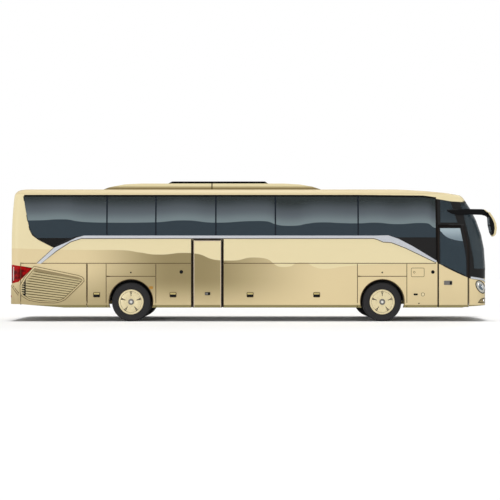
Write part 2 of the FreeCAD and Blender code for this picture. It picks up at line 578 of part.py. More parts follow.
def tow_eyes():
    """A flat lug under each end cross member, with an upright bore for a towing pin."""
    lugs, bores = [], []
    for x, bore_x in ((f"{FRAME_FRONT_X} - 220", f"{FRAME_FRONT_X} - 165"), (f"{REAR_X} + 130", f"{REAR_X} + 185")):
        lugs.append(brick("220", "130", "30", x, "-65", "rail_base - seat_gap"))
        bores.append(rod("tow_pin_radius", "60", bore_x, "0", "rail_base - 15"))
    add(less(joined(lugs), joined(bores)), "tow_eyes")


for side, name in ((1, "left"), (-1, "right")):
    knuckle(side, name)
track_rod()
front_axle()
rear_axle()
underframe()
tow_eyes()
add(brick("engine_length", "rail_spread - rail_width - 20", "engine_height", f"{REAR_X} + 450",
          "-(rail_spread - rail_width - 20) / 2", "rail_base + seat_gap"), "engine")


# Cabin floor, steps, luggage bay, wheel housings and racks, each cut to the inside of the body


def staircase(x0, x1, rise, run, count):
    """Treads and risers that climb inwards from the doorway, the first tread reaching out to the door."""
    thick = 30.0
    rows = []
    for k in range(count):
        z = FIRST_STEP + rise * k
        inner = run * k - (HALF - 315)
        outer = 95 - HALF if k == 0 else inner - run
        rows.append(block(x0, x1, outer, inner + 20, z - thick, z))
        rows.append(block(x0, x1, inner, inner + 20, z - thick, z + rise))
    return rows


def floor_deck():
    """The high deck with the middle stairwell, the driver's platform and both flights of steps."""
    deck = block(-FAR, DECK_FRONT, -FAR, FAR, FLAP_TOP, DECK).common(CABIN)
    deck = deck.cut(block(WELL_REAR, WELL_FRONT, -FAR, -320, -FAR, FAR))
    steps = staircase(WELL_REAR, WELL_FRONT, (DECK - FIRST_STEP) / 5, 160, 5)
    steps += staircase(FRONT_DOOR_REAR, FRONT_DOOR_FRONT, (PLATFORM - FIRST_STEP) / 4, 200, 4)
    reach, half_step = SIDE_IN - 35, (DECK + PLATFORM) / 2
    steps += [block(DECK_FRONT, FRONT - 420, -360, reach, PLATFORM - 40, PLATFORM),
              block(DECK_FRONT - 30, DECK_FRONT, -reach, reach, PLATFORM - 40, DECK),
              block(DECK_FRONT - 10, DECK_FRONT + 300, -300, 300, half_step - 20, half_step),
              block(DECK_FRONT + 280, DECK_FRONT + 300, -300, 300, PLATFORM - 10, half_step)]
    return feature("floor_deck", deck.fuse(steps).removeSplitter())


def luggage_bay():
    """A flat pan between two bulkheads, open at both sides behind the flaps and cut away round the stairwell."""
    low, top = size("bay_floor") - 30, size("bay_floor")
    reach = HALF - WALL - 47
    pan = block(BULK_REAR - BULK_THICK, BULK_FRONT + BULK_THICK, -reach, reach, low, top)
    walls = []
    for x in (BULK_FRONT, BULK_REAR - BULK_THICK):
        walls.append(block(x, x + BULK_THICK, -FAR, FAR, top + 105, FLAP_TOP).common(CABIN))
        walls.append(block(x, x + BULK_THICK, -reach, reach, low, top + 125))
    well = block(WELL_REAR - 40, WELL_FRONT + 40, -FAR, -280, -FAR, FAR)
    return feature("luggage_bay", pan.fuse(walls).cut(well).removeSplitter())


def wheel_housings():
    """Inner linings of the arches: a half drum over each wheel, its inner side open round the axle."""
    radius, inner_y, thick, axis = size("arch_radius") + 10, 560, 6, size("arch_height")
    shapes = []
    for axle in (REAR_AXLE, FRONT_AXLE):
        outside = round_points(radius + thick, axle, axis, 0, 180, 20)
        inside = round_points(radius, axle, axis, 0, 180, 20)
        inside = [(inside[0][0], axis - 1)] + inside + [(inside[-1][0], axis - 1)]
        for side in (1, -1):
            y0, y1 = sorted((side * inner_y, side * SIDE_IN))
            room = (y0 - 1, y1 - thick) if side < 0 else (y0 + thick, y1 + 1)
            slot = block(axle - 130, axle + 130, y0 - 1, y1 + 1, axis - 2, size("tyre_radius") + 110)
            shapes.append(side_prism(outside, y0, y1).cut([side_prism(inside, *room), slot]))
    return feature("wheel_housings", Part.makeCompound(shapes))


def luggage_racks():
    ends = (REAR + 802, DECK_FRONT - 300)
    rows = [block(*ends, y0, y1, 3320, 3380).common(CABIN) for y0, y1 in ((720, FAR), (-FAR, -720))]
    return feature("luggage_racks", Part.makeCompound(rows))


floor_deck()
luggage_bay()
wheel_housings()
luggage_racks()

# Seats: cushions and backs as plain pads on pedestals
CUSHION = size("cushion_base")
SEAT_FRONT = 480
SEAT_SIDE = [(60, CUSHION), (450, CUSHION), (SEAT_FRONT, CUSHION + 130), (80, CUSHION + 140), (-80, CUSHION + 830),
             (-200, CUSHION + 830), (-60, CUSHION + 130)]


def seat_places():
    """Each seat as its rear, its two sides, its floor and the width of its pedestal, in rows from the rear."""
    places = []
    outer = HALF - size("seat_margin")
    first = REAR_SEAM + 620
    for row in range(int((DECK_FRONT - SEAT_FRONT - first) / size("seat_pitch")) + 1):
        x = first + row * size("seat_pitch")
        for side in (1, -1):
            if side > 0 or not WELL_REAR - 500 < x < WELL_FRONT + 230:
                y0, y1 = sorted((side * (outer - size("seat_width")), side * outer))
                places.append((x, y0, y1, DECK, 500))
    places.append((DECK_FRONT + 230, 360, 880, PLATFORM, 300))
    return places


def seats():
    pads, frames = [], []
    for x, y0, y1, level, width in seat_places():
        middle_y = (y0 + y1) / 2
        pads.append(side_prism([(x + a, level + b) for a, b in SEAT_SIDE], y0, y1))
        frames.append(block(x + 120, x + 380, middle_y - width / 2, middle_y + width / 2, level,
                            level + CUSHION - SEAT_GAP))
    feature("seats", Part.makeCompound(pads))
    feature("seat_frames", Part.makeCompound(frames))


seats()

# Dashboard with the driver's console, and the steering wheel
DASH = [(FRONT - 560, PLATFORM), (FRONT - 560, 1800), (FRONT - 470, 2010), (FRONT - 150, 1880), (FAR, 1860),
        (FAR, PLATFORM)]
CONSOLE = [(FRONT - 820, PLATFORM), (FRONT - 820, 1750), (FRONT - 700, 1960), (FRONT - 540, 2000),
           (FRONT - 540, PLATFORM)]
dash = side_prism(DASH, -960, 1160).common(skin(WALL + 20)).fuse(side_prism(CONSOLE, 330, 900))
feature("dashboard", dash.removeSplitter())


def flat_ring(radius, thick, sides):
    """A level ring with flat sides."""
    discs = []
    for reach in (radius + thick, radius - thick):
        turns = [2 * math.pi * k / sides for k in range(sides)]
        ring = [V(reach * math.cos(t), reach * math.sin(t), -thick) for t in turns]
        discs.append(Part.Face(Part.makePolygon(ring + ring[:1])).extrude(V(0, 0, 2 * thick)))
    return discs[0].cut(discs[1])


def steering_wheel():
    """Rim, three spokes, hub and column, tilted towards the driver and ending in the console."""
    spokes = [Part.makeBox(430, 36, 12, V(-215, -18, -6)), Part.makeBox(215, 36, 12, V(0, -18, -6))]
    spokes[1].rotate(V(), V(0, 0, 1), -90)
    hub = straight_tube([V(0, 0, -20), V(0, 0, 20)], 60, 12)
    column = straight_tube([V(0, 0, -290), V(0, 0, 0)], 24, 8)
    helm = flat_ring(225, 14, 24).fuse(spokes + [hub, column])
    helm.rotate(V(), V(0, 1, 0), -28)
    helm.translate(V(FRONT - 900, 615, 2040))
    return feature("steering_wheel", helm.cut(dash))


steering_wheel()


def roof_unit():
    """The long low unit on the roof, sloping at both ends, with a dark strip along its top."""
    middle_x, half, side = REAR_AXLE + 2218, size("pod_length") / 2, size("pod_width") / 2
    rise, high, top = size("pod_height"), size("strip_height"), ROOF_FLAT
    line = [(-half, 0), (-half + 209, 0.42 * rise), (-half + 654, 0.88 * rise), (-half + 1103, rise),
            (half - 1090, rise), (half - 640, 0.85 * rise), (half - 283, 0.5 * rise), (half, 0)]
    pod = side_prism([(middle_x + a, top + b) for a, b in line], -side, side)
    section = [(-side, 0), (-side, 0.55 * rise), (55 - side, rise), (side - 55, rise), (side, 0.55 * rise), (side, 0)]
    corners = [V(middle_x - half, y, top + b) for y, b in section]
    pod = pod.common(Part.Face(Part.makePolygon(corners + corners[:1])).extrude(V(2 * half, 0, 0)))
    line = [(-1287, rise - 1), (-1147, rise + high), (1481, rise + high), (1591, rise - 1)]
    strip = side_prism([(middle_x + a, top + b) for a, b in line], -size("strip_width") / 2, size("strip_width") / 2)
    return feature("roof_unit", pod.fuse(strip))


roof_unit()


def waist_trims():
    """Silver strips laid on the walls, curving down to the rear and, past a bare badge, to the front door."""
    low = size("trim_low")
    line = [(REAR + 765, FLAP_TOP + 2), (REAR + 1240, 2028), (REAR + 1597, 2181), (REAR + 1837, 2299),
            (REAR + 2059, BELT), (FRONT_AXLE - 237, BELT), (FRONT_AXLE + 165, BELT + 7), (FRONT_AXLE + 445, 2272),
            (FRONT_AXLE + 830, 2071), (FRONT_DOOR_REAR - 17, 1667), (FRONT_DOOR_REAR - 33, 1623),
            (FRONT_AXLE + 1043, 1832), (FRONT_AXLE + 638, 2027), (FRONT_AXLE + 253, 2176), (FRONT_AXLE + 25, 2192),
            (FRONT_AXLE - 137, 2263), (FRONT_AXLE - 230, low), (REAR + 1986, low), (REAR + 1689, 2194),
            (REAR + 1301, 1941), (REAR + 882, FLAP_TOP + 2)]
    return feature("waist_trims", skin(-size("trim_rise")).common(side_prism(line)).cut(OUTER))


waist_trims()


def mirror(side):
    """A bent arm from the corner of the roof, and a head that hangs ahead of the windscreen."""
    tip = MIRROR_TIP
    spots = [(FRONT - 1080, 1150, 3055), (FRONT - 1060, 1225, 3055), (FRONT - 990, 1248, 3055),
             (FRONT - 430, 1240, 3060), (tip - 320, 1200, 3050), (tip - 245, 1185, 3000), (tip - 200, 1175, 2920),
             (tip - 170, 1175, 2800)]
    arm = straight_tube([V(x, side * y, z) for x, y, z in spots], 30, 8)
    line = [(tip - 262, 3000), (tip - 210, 2880), (tip - 190, 2640), (tip - 145, 2445), (tip - 82, 2338),
            (tip - 26, 2400), (tip, 2560), (tip - 20, 2700), (tip - 73, 2824), (tip - 190, 3000)]
    y0, y1 = sorted((side * 1035, side * 1315))
    return arm.fuse(side_prism(line, y0, y1)).cut(OUTER)


feature("mirrors", Part.makeCompound([s for side in (1, -1) for s in mirror(side).Solids]))

# Doors: a leaf on two swan-neck arms that swing on a column behind the front jamb
ARM_ROUTE = [(0, 0), (-12, 30), (-40, 64), (-88, 108), (-112, 118), (-140, 116), (-180, 94), (-456, -50)]
PIN_RADIUS = 10.0
ARM_LEVELS = (size("arm_low"), size("arm_high"))


def door_arm(label, jamb):
    """The column with two bent arms, each ending in an eye for the leaf's pin."""
    cx, cy = jamb - size("column_back"), -HALF + size("column_inset")
    low, top = FIRST_STEP + SEAT_GAP, size("column_top")
    column = Part.makeCylinder(size("column_radius"), top - low, V(cx, cy, low))
    end_x, end_y = cx + ARM_ROUTE[-1][0], cy + ARM_ROUTE[-1][1]
    pieces, bores = [], []
    for z in ARM_LEVELS:
        pieces.append(straight_tube([V(cx + a, cy + b, z) for a, b in ARM_ROUTE], size("arm_radius"), 8))
        pieces.append(straight_tube([V(end_x, end_y, z - 20), V(end_x, end_y, z + 20)], 20, 12))
        bores.append(Part.makeCylinder(PIN_RADIUS + SEAT_GAP, 60, V(end_x, end_y, z - 30)))
    return feature(label, column.fuse(pieces).cut(bores))


def leaf_brackets(jamb):
    """The pins that the arms carry, each held by two lugs on the inside of the leaf."""
    x, y = jamb - size("column_back") + ARM_ROUTE[-1][0], -HALF + size("column_inset") + ARM_ROUTE[-1][1]
    rows = []
    for z in ARM_LEVELS:
        rows.append(Part.makeCylinder(PIN_RADIUS, 80, V(x, y, z - 40)))
        rows += [block(x - 20, x + 20, y - 31, y + 14, base, base + 14) for base in (z + 26, z - 40)]
    return rows


def doorway_leaf(rear, front, top):
    return SHELL.common(block(rear + DOOR_GAP, front - DOOR_GAP, -FAR, 0, -FAR, top - DOOR_GAP))


door_arm("front_door_arm", FRONT_DOOR_FRONT)
door_arm("mid_door_arm", MID_DOOR_FRONT)
mid_leaf = doorway_leaf(MID_DOOR_REAR, MID_DOOR_FRONT, size("mid_door_top"))
feature("mid_door", mid_leaf.fuse(leaf_brackets(MID_DOOR_FRONT)))
front_leaf = doorway_leaf(FRONT_DOOR_REAR, FRONT_DOOR_FRONT, size("front_door_top"))
front_leaf = front_leaf.cut(side_prism([(x - 50 - DOOR_GAP, z) for x, z in WINDSCREEN]))
door_glass, door_rebate, door_hole = window(DOOR_PANE, -FAR, 0)
feature("front_door", front_leaf.cut([door_rebate, door_hole]).fuse(leaf_brackets(FRONT_DOOR_FRONT)))
feature("front_door_glass", door_glass)

doc.recompute()
for item in doc.Objects:
    if "Invalid" in item.State or "Error" in item.State:
        raise RuntimeError(f"{item.Label} failed: {item.State}")
for item in NODES:
    shape = item.Shape
    if shape.isNull() or not shape.isValid() or not shape.Solids:
        raise RuntimeError(f"{item.Label} has no valid solid")
    print(item.Label, len(shape.Solids), len(shape.Faces), round(shape.Volume / 1e6, 1))
    shape.exportStep(f"parts/{item.Label}.step")
print("nodes", len(NODES))
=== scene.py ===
# %% [markdown]
# # A high-deck coach bus
# The coach is 13.4 m long over its mirrors and 2.55 m wide. Its frame, with every panel, pane, wheel and
# seat base in place, comes from the imported model. This lesson adds what makes it look real: paint with a
# painted reflection, tinted panes, tyres with tread, padded seats, lamps, trims and seams. X runs forward,
# Y to the left and Z up.

import math

import bmesh
import bpy
from mathutils import Matrix, Vector
from mathutils.bvhtree import BVHTree


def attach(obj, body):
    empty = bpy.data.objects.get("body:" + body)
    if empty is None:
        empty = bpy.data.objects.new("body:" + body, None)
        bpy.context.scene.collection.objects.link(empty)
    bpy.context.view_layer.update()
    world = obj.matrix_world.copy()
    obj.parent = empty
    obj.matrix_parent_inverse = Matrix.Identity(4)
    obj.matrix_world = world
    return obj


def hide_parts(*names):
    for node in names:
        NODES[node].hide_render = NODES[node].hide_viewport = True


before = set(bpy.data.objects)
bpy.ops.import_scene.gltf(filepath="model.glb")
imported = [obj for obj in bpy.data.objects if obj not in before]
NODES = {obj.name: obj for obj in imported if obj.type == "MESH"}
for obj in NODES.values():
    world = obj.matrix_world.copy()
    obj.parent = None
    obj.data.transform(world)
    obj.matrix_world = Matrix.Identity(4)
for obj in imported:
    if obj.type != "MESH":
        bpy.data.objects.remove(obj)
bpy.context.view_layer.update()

# %% [markdown]
# ## Small helpers for materials
# A material is a network of nodes. The same few steps come back in each one, such as a sum, a mix of two
# colours or a noise, so each gets a short helper. Colours are written as they look on screen, from 0 to 255,
# and turned into the linear values that the shader works with.

# %% Colours and a new material


def colour(red, green, blue):
    """A linear colour from screen values of 0 to 255."""
    rows = [v / 255 for v in (red, green, blue)]
    return tuple(v / 12.92 if v <= 0.04045 else ((v + 0.055) / 1.055) ** 2.4 for v in rows) + (1.0,)


def material(name, roughness=0.5, metallic=0.0, **sockets):
    """A new node material with its uniform values set on the shader's own sockets."""
    made = bpy.data.materials.new(name)
    made.use_nodes = True
    shader = made.node_tree.nodes["Principled BSDF"]
    shader.inputs["Roughness"].default_value = roughness
    shader.inputs["Metallic"].default_value = metallic
    for key, value in sockets.items():
        shader.inputs[key.replace("_", " ")].default_value = value
    return made, made.node_tree, shader


def put(tree, value, socket):
    """Connects a socket, or sets a plain value."""
    if isinstance(value, bpy.types.NodeSocket):
        tree.links.new(value, socket)
    else:
        socket.default_value = value


print("half grey on screen is", round(colour(128, 128, 128)[0], 3), "to the shader")

# %% [markdown]
# ## Nodes that calculate
# A material can work out a tone as a formula does: sums, soft steps and mixes. Each of the three is one
# node, and the helpers below make it, connect what goes in and give back what comes out.

# %% Sums, soft steps and mixes


def maths(tree, operation, *values):
    """One step of arithmetic."""
    node = tree.nodes.new("ShaderNodeMath")
    node.operation = operation
    for socket, value in zip(node.inputs, values):
        put(tree, value, socket)
    return node.outputs[0]


def ramp(tree, value, low, high, out_low=0.0, out_high=1.0):
    """A soft step: out_low up to low, out_high from high on."""
    node = tree.nodes.new("ShaderNodeMapRange")
    node.interpolation_type = "SMOOTHSTEP"
    for name, number in (("Value", value), ("From Min", low), ("From Max", high), ("To Min", out_low),
                         ("To Max", out_high)):
        put(tree, number, node.inputs[name])
    return node.outputs[0]


def mixed(tree, share, first, second):
    """Two colours mixed by a share from 0 to 1."""
    node = tree.nodes.new("ShaderNodeMix")
    node.data_type = "RGBA"
    put(tree, share, node.inputs[0])
    put(tree, first, node.inputs[6])
    put(tree, second, node.inputs[7])
    return node.outputs[2]


print("three nodes to calculate with")

# %% [markdown]
# ## Where a point lies
# The paint's edges are known in metres along and up the coach, so the materials read where a point lies on
# the coach at rest, and the pattern then rides with a door or a flap that opens. Noise gives grain, a bump
# lets the light see that grain, and a curve node holds a drawn line.

# %% Places, grain and drawn lines


def place(tree):
    """X, Y and Z of a point on the object at rest, in metres, and the point itself."""
    coordinates = tree.nodes.new("ShaderNodeTexCoord")
    parts = tree.nodes.new("ShaderNodeSeparateXYZ")
    tree.links.new(coordinates.outputs["Object"], parts.inputs[0])
    return parts.outputs[0], parts.outputs[1], parts.outputs[2], coordinates.outputs["Object"]


def noise(tree, point, scale, detail=3.0):
    """Soft random grain, with about as many grains to a metre as its scale."""
    node = tree.nodes.new("ShaderNodeTexNoise")
    node.inputs["Scale"].default_value = scale
    node.inputs["Detail"].default_value = detail
    tree.links.new(point, node.inputs["Vector"])
    return node.outputs["Fac"]


def bumped(tree, shader, height, strength, distance):
    """Lets light fall as if the surface rose by a height, up to a distance in metres."""
    node = tree.nodes.new("ShaderNodeBump")
    node.inputs["Strength"].default_value = strength
    node.inputs["Distance"].default_value = distance
    tree.links.new(height, node.inputs["Height"])
    tree.links.new(node.outputs["Normal"], shader.inputs["Normal"])


def drawn_height(tree, x, points, low, high, straight=False):
    """A height that changes along X as a drawn line does, by a curve through a few points in metres."""
    start, end = points[0][0], points[-1][0]
    along = tree.nodes.new("ShaderNodeMapRange")
    for name, number in (("Value", x), ("From Min", start), ("From Max", end)):
        put(tree, number, along.inputs[name])
    line = tree.nodes.new("ShaderNodeFloatCurve")
    curve = line.mapping.curves[0]
    spots = [((a - start) / (end - start), (b - low) / (high - low)) for a, b in points]
    curve.points[0].location, curve.points[1].location = spots[0], spots[-1]
    for spot in spots[1:-1]:
        curve.points.new(*spot)
    if straight:
        for spot in curve.points:
            spot.handle_type = "VECTOR"
    line.mapping.update()
    tree.links.new(along.outputs[0], line.inputs["Value"])
    return maths(tree, "MULTIPLY_ADD", line.outputs[0], high - low, low)


def dress(made, *names):
    """Gives CAD nodes one material."""
    for name in names:
        NODES[name].data.materials.clear()
        NODES[name].data.materials.append(made)


print("materials can be placed in metres")

# %% [markdown]
# ## Paint with a painted reflection
# The coach's paint shows light champagne above and a sand tone below, parted by a wavy horizon that rolls
# along the side like dunes: a reflection of a landscape, painted into the colour, whose sand darkens where
# the reflected ground is darker. It could be cut into the mesh, but paint has no thickness, so the horizon
# is drawn in the material by a curve of height against length. The black of the window band and of the
# front corner is drawn the same way between a lower and an upper line. The foot of the skirt is a little
# darker. The rim of the roof is darker by painted shade, and so is any panel that is seen at a grazing
# angle. The paint also has painted glints, which a fine noise in the base colour gives, under a thin clear
# coat.

# %% Paint with a painted reflection
# The wavy horizon of a painted reflection of a landscape, in X and Z: champagne above it, sand below.
REFLECTED_HORIZON = [(-6.80, 2.020), (-5.77, 1.986), (-4.34, 1.964), (-3.65, 1.960), (-3.08, 1.892), (-2.55, 1.837),
         (-1.89, 1.884), (-1.51, 1.853), (-0.85, 1.675), (-0.49, 1.675), (0.00, 1.757), (0.25, 1.744),
         (0.61, 1.565), (0.83, 1.496), (1.02, 1.510), (1.19, 1.598), (1.35, 1.617), (1.52, 1.584),
         (1.74, 1.482), (1.98, 1.449), (2.40, 1.496), (3.20, 1.560), (6.80, 1.560)]
BAND_FOOT = [(-6.80, 3.490), (-6.345, 3.490), (-6.325, 3.440), (-6.27, 3.121), (-6.20, 2.760), (-6.14, 2.520),
             (-6.06, 2.370), (-5.90, 2.250), (-5.462, 2.020), (-5.105, 2.165), (-4.865, 2.278),
             (-4.64, 2.335), (3.32, 2.335), (3.72, 2.340), (4.005, 2.250), (4.39, 2.050), (5.056, 1.640),
             (5.073, 1.606), (5.95, 1.184), (6.10, 1.180), (6.80, 1.080)]
BAND_HEAD = [(-6.80, 3.445), (2.90, 3.445), (3.70, 3.442), (4.74, 3.424), (5.06, 3.376), (5.47, 3.305),
             (5.72, 3.292), (6.80, 3.292)]
CREAM = colour(238, 223, 178)
SAND = colour(231, 211, 164)
# The darkest sand of the painted reflection of the ground.
REFLECTED_DARK = colour(150, 134, 92)
SKIRT_TONE = colour(134, 124, 78)
# Painted shade for the rim of the roof.
ROOF_RIM_SHADE = colour(204, 184, 144)
# Painted shade for panels seen at a grazing angle.
GRAZING_SHADE = colour(104, 92, 62)
# Painted glints of the paint's flakes.
PAINTED_GLINT = colour(255, 250, 235)
BLACK = colour(7, 6, 6)
SKIRT_FOOT, SKIRT_TOP = 0.446, 0.458
ROOF_SHADE_FOOT, ROOF_SHADE_TOP = 3.470, 3.530
EDGE = 0.004


def sand_and_painted_reflection(tree, x, z):
    """Sand of the painted reflection, darkest behind the middle door and at the foot of the rear corner."""
    behind = maths(tree, "MULTIPLY", ramp(tree, x, -4.9, -2.2), ramp(tree, x, -1.5, 2.1, 1.0, 0.0))
    dark = maths(tree, "MULTIPLY", behind, ramp(tree, z, 0.30, 1.20, 0.25, 1.0))
    rear = maths(tree, "MULTIPLY", ramp(tree, x, -3.9, -2.6, 1.0, 0.0), ramp(tree, z, 0.45, 1.60, 0.62, 0.0))
    low = maths(tree, "MULTIPLY", ramp(tree, x, 2.0, 4.5), ramp(tree, z, 0.4, 1.3, 0.14, 0.0))
    share = maths(tree, "MINIMUM", maths(tree, "ADD", maths(tree, "ADD", dark, rear), low), 1.0)
    return mixed(tree, share, SAND, REFLECTED_DARK)


def painted(name, glint_share=0.03):
    """Coach paint with a painted reflection in two tones, its dark skirt, painted shade on its roof rim and
    at grazing angles, painted glints and the black window band.
    """
    made, tree, shader = material(name, roughness=0.52, Specular_IOR_Level=0.2, Coat_Weight=0.04,
                                  Coat_Roughness=0.3)
    x, y, z, point = place(tree)
    # Painted reflection: champagne above the wavy horizon, sand with darker reflected ground below it.
    edge = drawn_height(tree, x, REFLECTED_HORIZON, 1.3, 2.1)
    above = ramp(tree, maths(tree, "SUBTRACT", z, edge), -2 * EDGE, 2 * EDGE)
    tone = mixed(tree, above, sand_and_painted_reflection(tree, x, z), CREAM)
    tone = mixed(tree, ramp(tree, z, SKIRT_FOOT, SKIRT_TOP, 0.95, 0.0), tone, SKIRT_TONE)
    foot = drawn_height(tree, x, BAND_FOOT, 1.0, 3.5, True)
    head = drawn_height(tree, x, BAND_HEAD, 3.2, 3.5, True)
    inside = maths(tree, "MULTIPLY", ramp(tree, maths(tree, "SUBTRACT", z, foot), -EDGE, EDGE),
                   ramp(tree, maths(tree, "SUBTRACT", head, z), -EDGE, EDGE))
    # Painted glints: a fine noise mixes near-white into the paint, where the real flakes would catch the
    # light.
    grain = noise(tree, point, 900.0, 2.0)
    tone = mixed(tree, maths(tree, "MULTIPLY", grain, glint_share), tone, PAINTED_GLINT)
    # Painted shade: the paint darkens where a panel is seen at a grazing angle.
    grazing_share = tree.nodes.new("ShaderNodeLayerWeight").outputs["Facing"]
    tone = mixed(tree, ramp(tree, grazing_share, 0.62, 0.96, 0.0, 0.75), tone, GRAZING_SHADE)
    # Painted shade: the rim of the roof darkens from its foot up.
    tone = mixed(tree, ramp(tree, z, ROOF_SHADE_FOOT, ROOF_SHADE_TOP, 0.0, 0.55), tone, ROOF_RIM_SHADE)
    tree.links.new(mixed(tree, inside, tone, BLACK), shader.inputs["Base Color"])
    bumped(tree, shader, noise(tree, point, 260.0, 1.0), 0.05, 0.0004)
    return made


PAINT = painted("coach_paint")
PAINTED = ["side_wall_right", "side_wall_left", "roof_panel", "lower_side_panels", "front_panel",
           "rear_panel", "engine_lid", "front_door", "mid_door"]
PAINTED += [name for name in NODES if name.startswith("flap_")]
dress(PAINT, *PAINTED)
print("painted", len(PAINTED), "panels in two tones")

# %% [markdown]
# ## Tinted panes
# The side panes are dark tinted glass with a painted reflection in their colour: dark at the roof, pale
# lower down and slate under a wavy horizon. The seats show only faintly, so the shader is a glossy dark
# colour that lets a little light through by its alpha, which is cheaper than true refraction and enough for
# thin panes. The windscreen is clearer, and the front door's pane has a painted reflection of the sky, a pale
# patch above a drawn line.

# %% Tinted panes
# The wavy horizon of the painted reflection in the side panes.
PANE_HORIZON = [(-6.80, 2.780), (-5.90, 2.780), (-5.24, 2.808), (-4.89, 2.764), (-4.56, 2.731), (-4.01, 2.717),
             (-2.66, 2.728), (-1.89, 2.780), (-1.04, 2.717), (-0.02, 2.761), (0.28, 2.761), (0.62, 2.673),
             (1.02, 2.629), (1.49, 2.687), (1.93, 2.725), (2.37, 2.709), (2.89, 2.698), (3.36, 2.717),
             (3.97, 2.676), (4.65, 2.709), (4.84, 2.690), (5.10, 2.560), (6.80, 2.560)]


def pane_glass(name, alpha):
    """Dark side panes with a painted reflection over a slate wave, and a black tip at the rear."""
    made, tree, shader = material(name, roughness=0.04, Alpha=alpha, IOR=1.5, Specular_IOR_Level=0.2)
    x, y, z, point = place(tree)
    horizon_height = drawn_height(tree, x, PANE_HORIZON, 2.4, 3.0)
    rise = maths(tree, "SUBTRACT", z, horizon_height)
    # Painted reflection: pale sky above the horizon, darker towards the roof, slate below it.
    shade = mixed(tree, ramp(tree, rise, 0.0, 0.34), colour(124, 139, 143), colour(92, 100, 107))
    shade = mixed(tree, ramp(tree, rise, 0.26, 0.68), shade, colour(42, 50, 50))
    tone = mixed(tree, ramp(tree, rise, -0.006, 0.006), colour(48, 61, 70), shade)
    tone = mixed(tree, ramp(tree, x, 5.10, 5.12, 0.0, 0.85), tone, colour(40, 54, 62))
    tip = maths(tree, "MULTIPLY", ramp(tree, z, 2.285, 2.300, 1.0, 0.0), ramp(tree, x, -4.6, -4.5, 1.0, 0.0))
    tone = mixed(tree, tip, tone, BLACK)
    tree.links.new(tone, shader.inputs["Base Color"])
    bumped(tree, shader, noise(tree, point, 1.3, 1.0), 0.02, 0.002)
    return made


# The line under the painted reflection of the sky on the door's pane.
GLARE = [(5.10, 2.520), (5.18, 2.470), (5.26, 2.380), (5.36, 2.310), (5.50, 2.255), (5.64, 2.225),
         (5.80, 2.205)]


def clear_glass(name, tint, alpha, glare=0.0):
    """Plain tinted glass, darker in its upper edge band; glare adds a painted reflection of the sky, a pale
    patch above a drawn line.
    """
    made, tree, shader = material(name, roughness=0.03, Alpha=alpha, IOR=1.5, Specular_IOR_Level=0.2)
    x, y, z, point = place(tree)
    tone = mixed(tree, ramp(tree, z, 3.05, 3.30), tint, colour(30, 36, 38))
    if glare:
        # Painted reflection of the sky: a pale patch above a drawn line.
        rise = maths(tree, "SUBTRACT", z, drawn_height(tree, x, GLARE, 2.1, 2.6))
        sky_reflection = mixed(tree, ramp(tree, z, 2.22, 2.58), colour(136, 152, 162), colour(184, 202, 210))
        tone = mixed(tree, ramp(tree, rise, -0.008, 0.008, 0.0, glare), tone, sky_reflection)
    tree.links.new(tone, shader.inputs["Base Color"])
    bumped(tree, shader, noise(tree, point, 1.1, 1.0), 0.02, 0.002)
    return made


dress(pane_glass("tinted_panes", 0.90), "windows")
dress(clear_glass("windscreen_glass", colour(56, 68, 74), 0.76), "windscreen")
dress(clear_glass("door_glass", colour(48, 62, 71), 0.88, 0.95), "front_door_glass")
print("glazed", [name for name in NODES if "glass" in name or name in ("windows", "windscreen")])

# %% [markdown]
# ## Metals, plastics and rubber of the frame
# The parts below and inside the body are plain in colour, but none is one flat tone: cast iron is mottled,
# chassis paint is dusty, vinyl has flecks and moulded plastic has a fine grain. Each is a base colour mixed
# with noise, and a bump of the same noise.

# %% Metals, plastics and rubber


def grained(name, first, second, scale, roughness, metallic=0.0, bump=0.15, depth=0.0005, **sockets):
    """Two close tones mottled by noise, with a bump from the same noise."""
    made, tree, shader = material(name, roughness=roughness, metallic=metallic, **sockets)
    x, y, z, point = place(tree)
    grain = noise(tree, point, scale, 4.0)
    tree.links.new(mixed(tree, ramp(tree, grain, 0.35, 0.65), first, second), shader.inputs["Base Color"])
    bumped(tree, shader, grain, bump, depth)
    return made


STEEL = grained("chassis_steel", colour(46, 46, 48), colour(62, 60, 58), 14.0, 0.62)
IRON = grained("engine_iron", colour(96, 98, 100), colour(72, 72, 74), 30.0, 0.55, 0.5, 0.4, 0.002)
VINYL = grained("floor_vinyl", colour(92, 90, 86), colour(118, 114, 108), 160.0, 0.6)
PLASTIC = grained("grained_plastic", colour(84, 84, 84), colour(72, 72, 72), 420.0, 0.55)
BLACK_PLASTIC = grained("black_plastic", colour(12, 12, 13), colour(18, 18, 19), 500.0, 0.45,
                        Specular_IOR_Level=0.1)
SEAM = grained("seam_rubber", colour(92, 72, 44), colour(70, 54, 34), 220.0, 0.7, Specular_IOR_Level=0.2)
DARK_SEAM = grained("dark_rubber", colour(22, 14, 10), colour(32, 24, 18), 220.0, 0.7,
                    Specular_IOR_Level=0.15)
SILVER = grained("silver_trim", colour(200, 203, 208), colour(188, 191, 197), 60.0, 0.42, 0.25, 0.05)
TRIM_SHADE = grained("trim_shade", colour(70, 64, 58), colour(52, 46, 42), 120.0, 0.7,
                     Specular_IOR_Level=0.15)
CHROME = grained("chrome", colour(235, 235, 238), colour(222, 222, 226), 40.0, 0.08, 1.0, 0.02)
dress(STEEL, "underframe", "tow_eyes", "front_axle", "rear_axle", "knuckle_left", "knuckle_right",
      "track_rod", "seat_frames", "front_door_arm", "mid_door_arm", "wheel_housings")
dress(IRON, "engine")
dress(VINYL, "floor_deck", "luggage_bay")
dress(PLASTIC, "luggage_racks", "dashboard")
dress(BLACK_PLASTIC, "steering_wheel")
dress(SILVER, "waist_trims")
print("dressed the chassis, the cabin and the trims")

